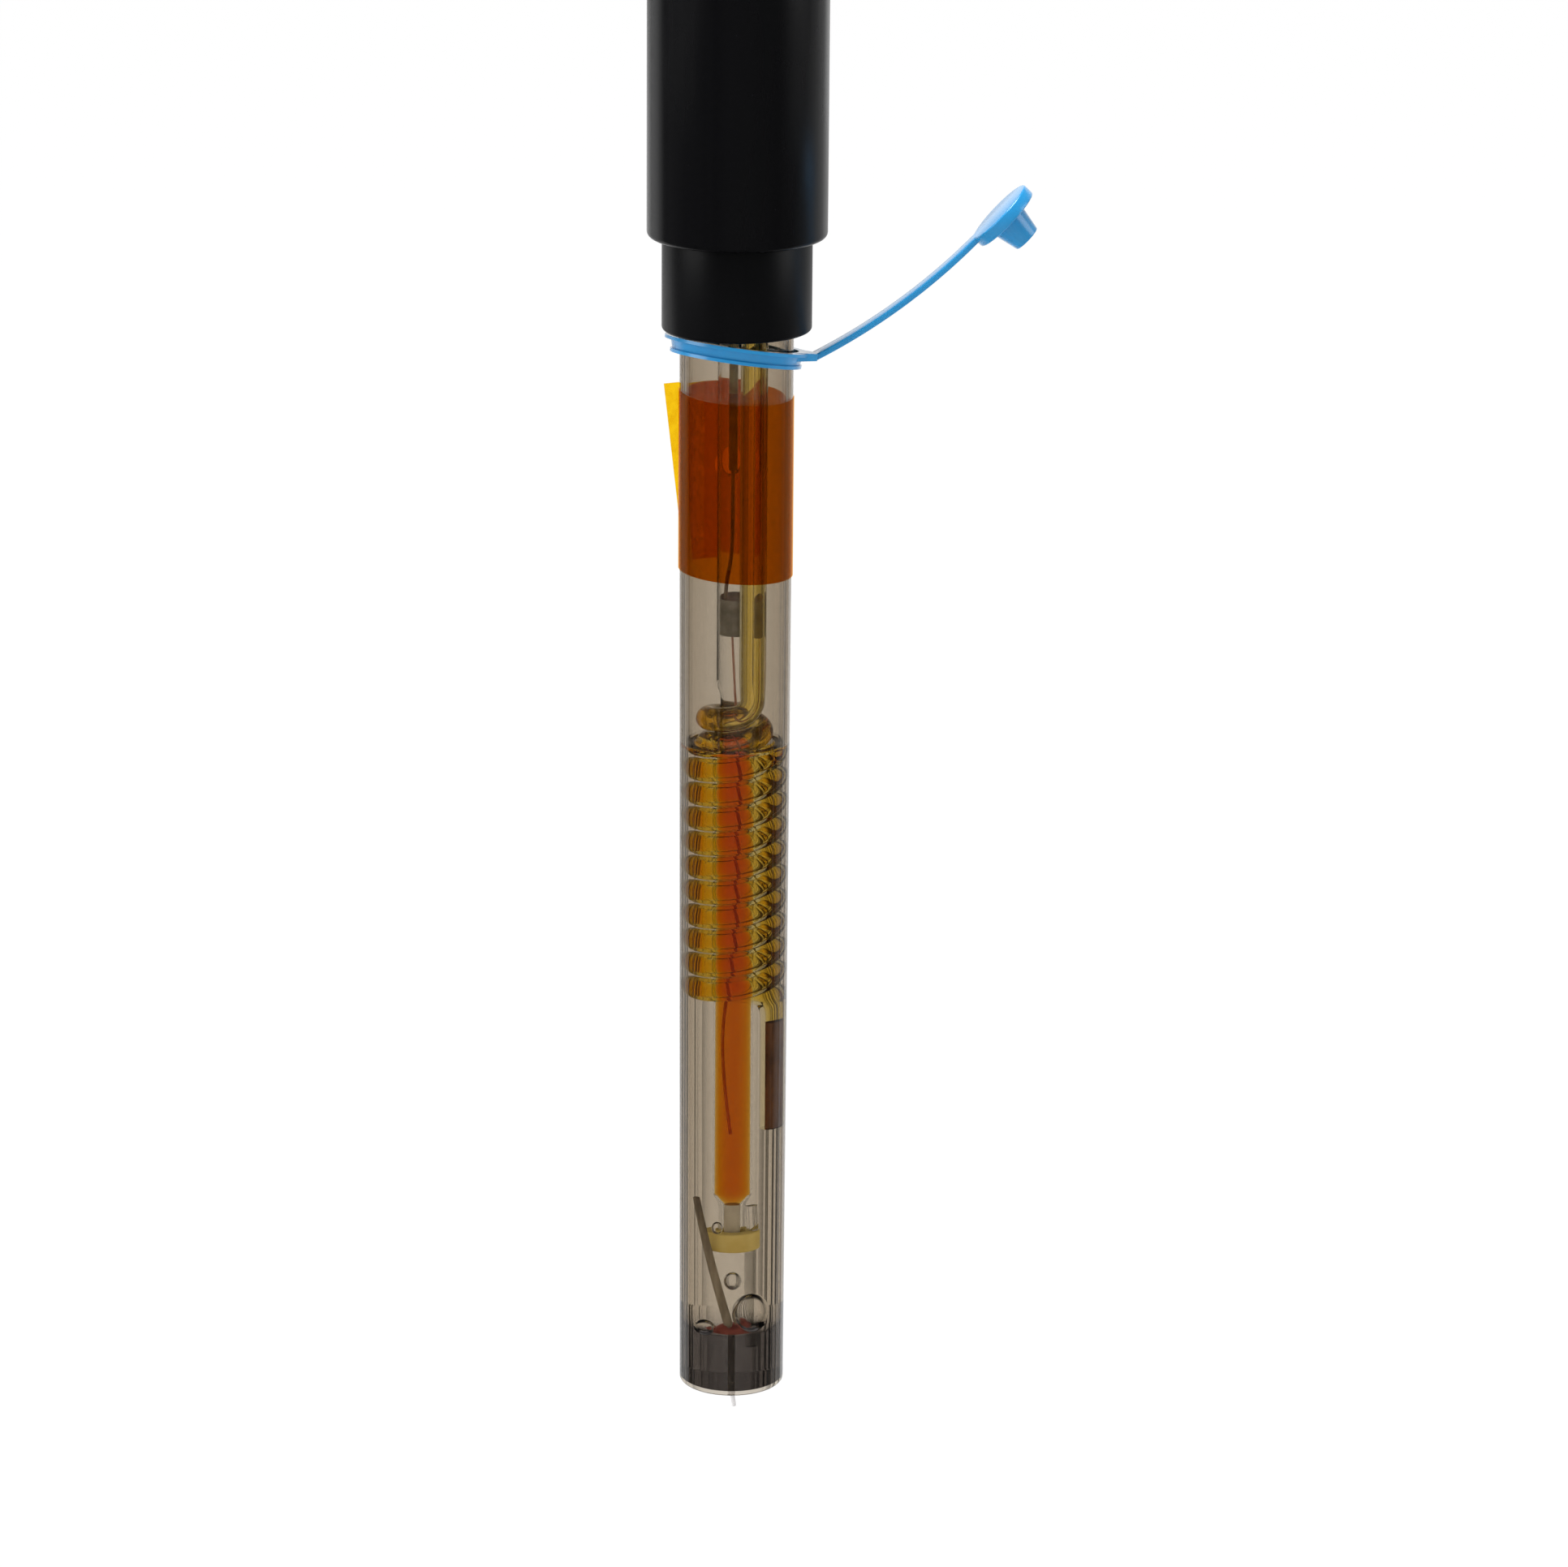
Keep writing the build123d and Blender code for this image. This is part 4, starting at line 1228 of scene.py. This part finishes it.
piece_from(collar_bm, "moulded_collar", collar_plastic, "collar")

grommet_foot, grommet_top = heights("cable_grommet")
GROMMET_BORE_R = 2.1
GROMMET_LIP = 1.1
roof_low = cap_top - CAP_ROOF
lip_r = INLET_R + GROMMET_LIP
rubber_finish = make_solid_finish("grommet_rubber", srgb(34, 34, 35), srgb(24, 24, 25), 500.0, 0.6, 0.02)
grommet_bm = spun(
    [
        (GROMMET_BORE_R, grommet_foot),
        (lip_r, grommet_foot),
        (lip_r, roof_low - SLIP),
        (INLET_R - SLIP, roof_low - SLIP),
        (INLET_R - SLIP, cap_top + SLIP),
        (lip_r, cap_top + SLIP),
        (lip_r - GROMMET_LIP / 2, grommet_top),
        (GROMMET_BORE_R, grommet_top),
    ],
    steps=96,
)
round_ring(grommet_bm, lip_r - GROMMET_LIP / 2, grommet_top, 0.25, 4)
round_ring(grommet_bm, GROMMET_BORE_R, grommet_top, 0.2, 3)
piece_from(grommet_bm, "inlet_grommet", rubber_finish, "cable_grommet")

# %% [markdown]
# The blue moulding
# Ring, tab, strap, disc and plug come out of one mould in a soft elastomer. Each stretch
# is made by the operator that fits it, and Booleans unite them, because where they meet
# is a line that no operator draws. A last pass closes the fine gaps that this leaves.

# %% Make the blue moulding
RING_CLEARANCE = 0.45
RING_WEB = 0.32
RING_FLARE = 0.3
RING_HALF = 0.87
RING_LIP = 0.35
TOP_LIP_REACH = 0.65
LOW_LIP_REACH = 0.2
RING_BELOW_COLLAR = 0.1
RING_SIDE_TILT = 7.5
RING_FRONT_TILT = 8.2
TAB_REACH = 8.6
TAB_WIDTH = 8.4
TAB_ROOT_LIFT = 0.3
TAB_TIP_LIFT = 0.6
TAB_MARGIN = 0.1
STRAP_LENGTH = 21.7
STRAP_WIDTH = 2.4
STRAP_THICK = 0.66
STRAP_START = 28.0
STRAP_END = 46.5
STRAP_OVER_DISC = 0.45
DISC_R = 3.875
DISC_THICK = 1.3
PLUG_ROOT_R = 2.15
PLUG_TIP_R = 1.525
PLUG_LENGTH = 2.95
STRAP_SOFT = 0.16
SEAM_REACH = 0.004
MOULDING_CREASE = 35


def make_elastomer():
    """Soft blue elastomer with a satin skin, which turns pale at a grazing angle."""
    material, board = new_material("blue_elastomer")
    coordinates = board.node("ShaderNodeTexCoord", output=3)
    mottle = board.noise(coordinates, 350.0, 3.0)
    colour = board.tint(mottle, srgb(30, 148, 208), srgb(22, 136, 198))
    rough = 0.3 + mottle * 0.12
    coat = dict(Coat_Weight=1.0, Coat_Roughness=0.2)
    board.finish(board.surface(Base_Color=colour, Roughness=rough, **coat))
    return material


elastomer = make_elastomer()
ring_bore_r = body_top_r + RING_CLEARANCE
web_low = ring_bore_r + RING_WEB
web_high = web_low + RING_FLARE
upright = cos(radians(RING_FRONT_TILT)) * cos(radians(RING_SIDE_TILT))
highest = RING_HALF * upright + (web_high + TOP_LIP_REACH) * sqrt(1 - upright**2)
front_tilt = Matrix.Rotation(radians(-RING_FRONT_TILT), 4, "X")
side_tilt = Matrix.Rotation(radians(RING_SIDE_TILT), 4, "Y")
seat = Matrix.Translation(mm(0, 0, -RING_BELOW_COLLAR - highest)) @ (front_tilt @ side_tilt)
band_bm = spun(
    [
        (ring_bore_r, -RING_HALF),
        (web_low + LOW_LIP_REACH, -RING_HALF),
        (web_low + LOW_LIP_REACH, RING_LIP - RING_HALF),
        (web_low, RING_LIP - RING_HALF),
        (web_high, RING_HALF - RING_LIP),
        (web_high + TOP_LIP_REACH, RING_HALF - RING_LIP),
        (web_high + TOP_LIP_REACH, RING_HALF),
        (ring_bore_r, RING_HALF),
    ]
)
bmesh.ops.transform(band_bm, matrix=seat, verts=band_bm.verts)
moulding = piece_from(
    band_bm, "plug_moulding", elastomer, "refill_plug", body="plug_ring"
)


def wedge():
    """Tab that narrows from the ring's width to the strap's."""
    bm = bmesh.new()
    ends = []
    root_end = (0.7 * ring_bore_r, TAB_ROOT_LIFT, RING_HALF - RING_LIP, TAB_WIDTH / 2)
    tip_end = (TAB_REACH, TAB_TIP_LIFT, (STRAP_THICK + TAB_MARGIN) / 2, STRAP_WIDTH / 2 + TAB_MARGIN)
    for x, lift, half_z, half_y in (root_end, tip_end):
        corners = [(x, y, lift + z) for y, z in (
            (-half_y, -half_z), (half_y, -half_z), (half_y, half_z), (-half_y, half_z)
        )]
        ends.append(bm.faces.new([bm.verts.new(mm(*c)) for c in corners]))
    bmesh.ops.bridge_loops(bm, edges=[e for end in ends for e in end.edges])
    bmesh.ops.recalc_face_normals(bm, faces=bm.faces)
    bmesh.ops.transform(bm, matrix=seat, verts=bm.verts)
    return bm


ring_hole = spun(
    [(0, -3), (ring_bore_r + 0.05, -3), (ring_bore_r + 0.05, 3), (0, 3)], closed=False
)
bmesh.ops.transform(ring_hole, matrix=seat, verts=ring_hole.verts)
tab_tool = loose(wedge(), "tab")
cut(tab_tool, loose(ring_hole, "ring_hole"))
cut(moulding, tab_tool, "UNION")

strap_bend_r = STRAP_LENGTH / radians(STRAP_END - STRAP_START)
tab_end = seat @ mm(TAB_REACH - STRAP_THICK / 2, 0, TAB_TIP_LIFT)
tab_end.y = 0.0
bend_start = radians(STRAP_START)
across = Vector((-sin(bend_start), 0, cos(bend_start)))
bend_centre = tab_end + across * mm(strap_bend_r)
strap_bm = bmesh.new()
section = [
    tab_end + Vector((0, side_y * mm(STRAP_WIDTH / 2), 0)) + across * side_n * mm(STRAP_THICK / 2)
    for side_y, side_n in ((-1, -1), (1, -1), (1, 1), (-1, 1))
]
strap_face = strap_bm.faces.new([strap_bm.verts.new(place) for place in section])
bmesh.ops.bevel(
    strap_bm, geom=list(strap_face.verts), offset=mm(STRAP_SOFT), segments=3, profile=0.5,
    affect="VERTICES", material=-1,
)
strap_bm.faces.ensure_lookup_table()
strap_section = strap_bm.faces[0]
bmesh.ops.duplicate(strap_bm, geom=[strap_section])
bmesh.ops.spin(
    strap_bm, geom=[strap_section, *strap_section.edges, *strap_section.verts],
    cent=bend_centre, axis=(0, -1, 0), angle=radians(STRAP_END - STRAP_START), steps=24,
)
cut(moulding, loose(cleaned(strap_bm, 0.001), "strap"), "UNION")

end_angle = radians(STRAP_END)
reach = Vector((cos(end_angle), 0, sin(end_angle)))
out_of_top = Vector((-sin(end_angle), 0, cos(end_angle)))
strap_tip = bend_centre - out_of_top * mm(strap_bend_r)
disc_frame = Matrix((
    (reach.x, 0, out_of_top.x, strap_tip.x),
    (0, 1, 0, 0),
    (reach.z, 0, out_of_top.z, strap_tip.z),
    (0, 0, 0, 1),
))
disc_middle = DISC_R - STRAP_OVER_DISC
head_top = STRAP_THICK / 2
head_bm = spun(
    [
        (0, head_top),
        (DISC_R, head_top),
        (DISC_R, head_top - DISC_THICK),
        (PLUG_ROOT_R, head_top - DISC_THICK),
        (PLUG_TIP_R, head_top - DISC_THICK - PLUG_LENGTH),
        (0, head_top - DISC_THICK - PLUG_LENGTH),
    ],
    closed=False,
    steps=96,
)
for edge_r, edge_z, soft in (
    (DISC_R, head_top, 0.18),
    (DISC_R, head_top - DISC_THICK, 0.18),
    (PLUG_TIP_R, head_top - DISC_THICK - PLUG_LENGTH, 0.12),
):
    round_ring(head_bm, edge_r, edge_z, soft, 3)
bmesh.ops.transform(
    head_bm, matrix=disc_frame @ Matrix.Translation(mm(disc_middle, 0, 0)), verts=head_bm.verts
)
cut(moulding, loose(head_bm, "head"), "UNION")

seam_bm = bmesh.new()
seam_bm.from_mesh(moulding.data)
bmesh.ops.remove_doubles(seam_bm, verts=seam_bm.verts, dist=mm(SEAM_REACH))
bmesh.ops.dissolve_degenerate(seam_bm, edges=seam_bm.edges, dist=mm(SEAM_REACH))
bmesh.ops.holes_fill(seam_bm, edges=[e for e in seam_bm.edges if e.is_boundary], sides=0)
bmesh.ops.recalc_face_normals(seam_bm, faces=seam_bm.faces)
seam_bm.to_mesh(moulding.data)
seam_bm.free()
moulding.data.set_sharp_from_angle(angle=radians(MOULDING_CREASE))
print("blue moulding faces:", len(moulding.data.polygons))

# %% [markdown]
# Pieces that stay as they are
# The seal ring, the resin in the cap, the splice and the spacer are closed in. Their
# solids have the right shape, so they only get a finish.

# %% Finish the pieces that stay
HIDDEN = {
    "collar_seal": ("seal_rubber", (30, 30, 31), (20, 20, 21), 0.6, 0.0),
    "cap_potting": ("potting_resin", (40, 40, 42), (26, 26, 28), 0.4, 0.0),
    "splice_sleeve": ("splice_brass", (205, 172, 104), (176, 142, 84), 0.3, 0.9),
    "tube_spacer": ("spacer_plastic", (214, 210, 200), (196, 192, 182), 0.5, 0.0),
}
for node, (name, colour, darker, roughness, metal) in HIDDEN.items():
    tones = srgb(*colour), srgb(*darker)
    finish = make_solid_finish(name + "_finish", *tones, 300.0, roughness, Metallic=metal)
    for material_slot in frame["nodes"][node].material_slots:
        material_slot.material = finish
    print(node, "has its finish")

# %% Import json
import json
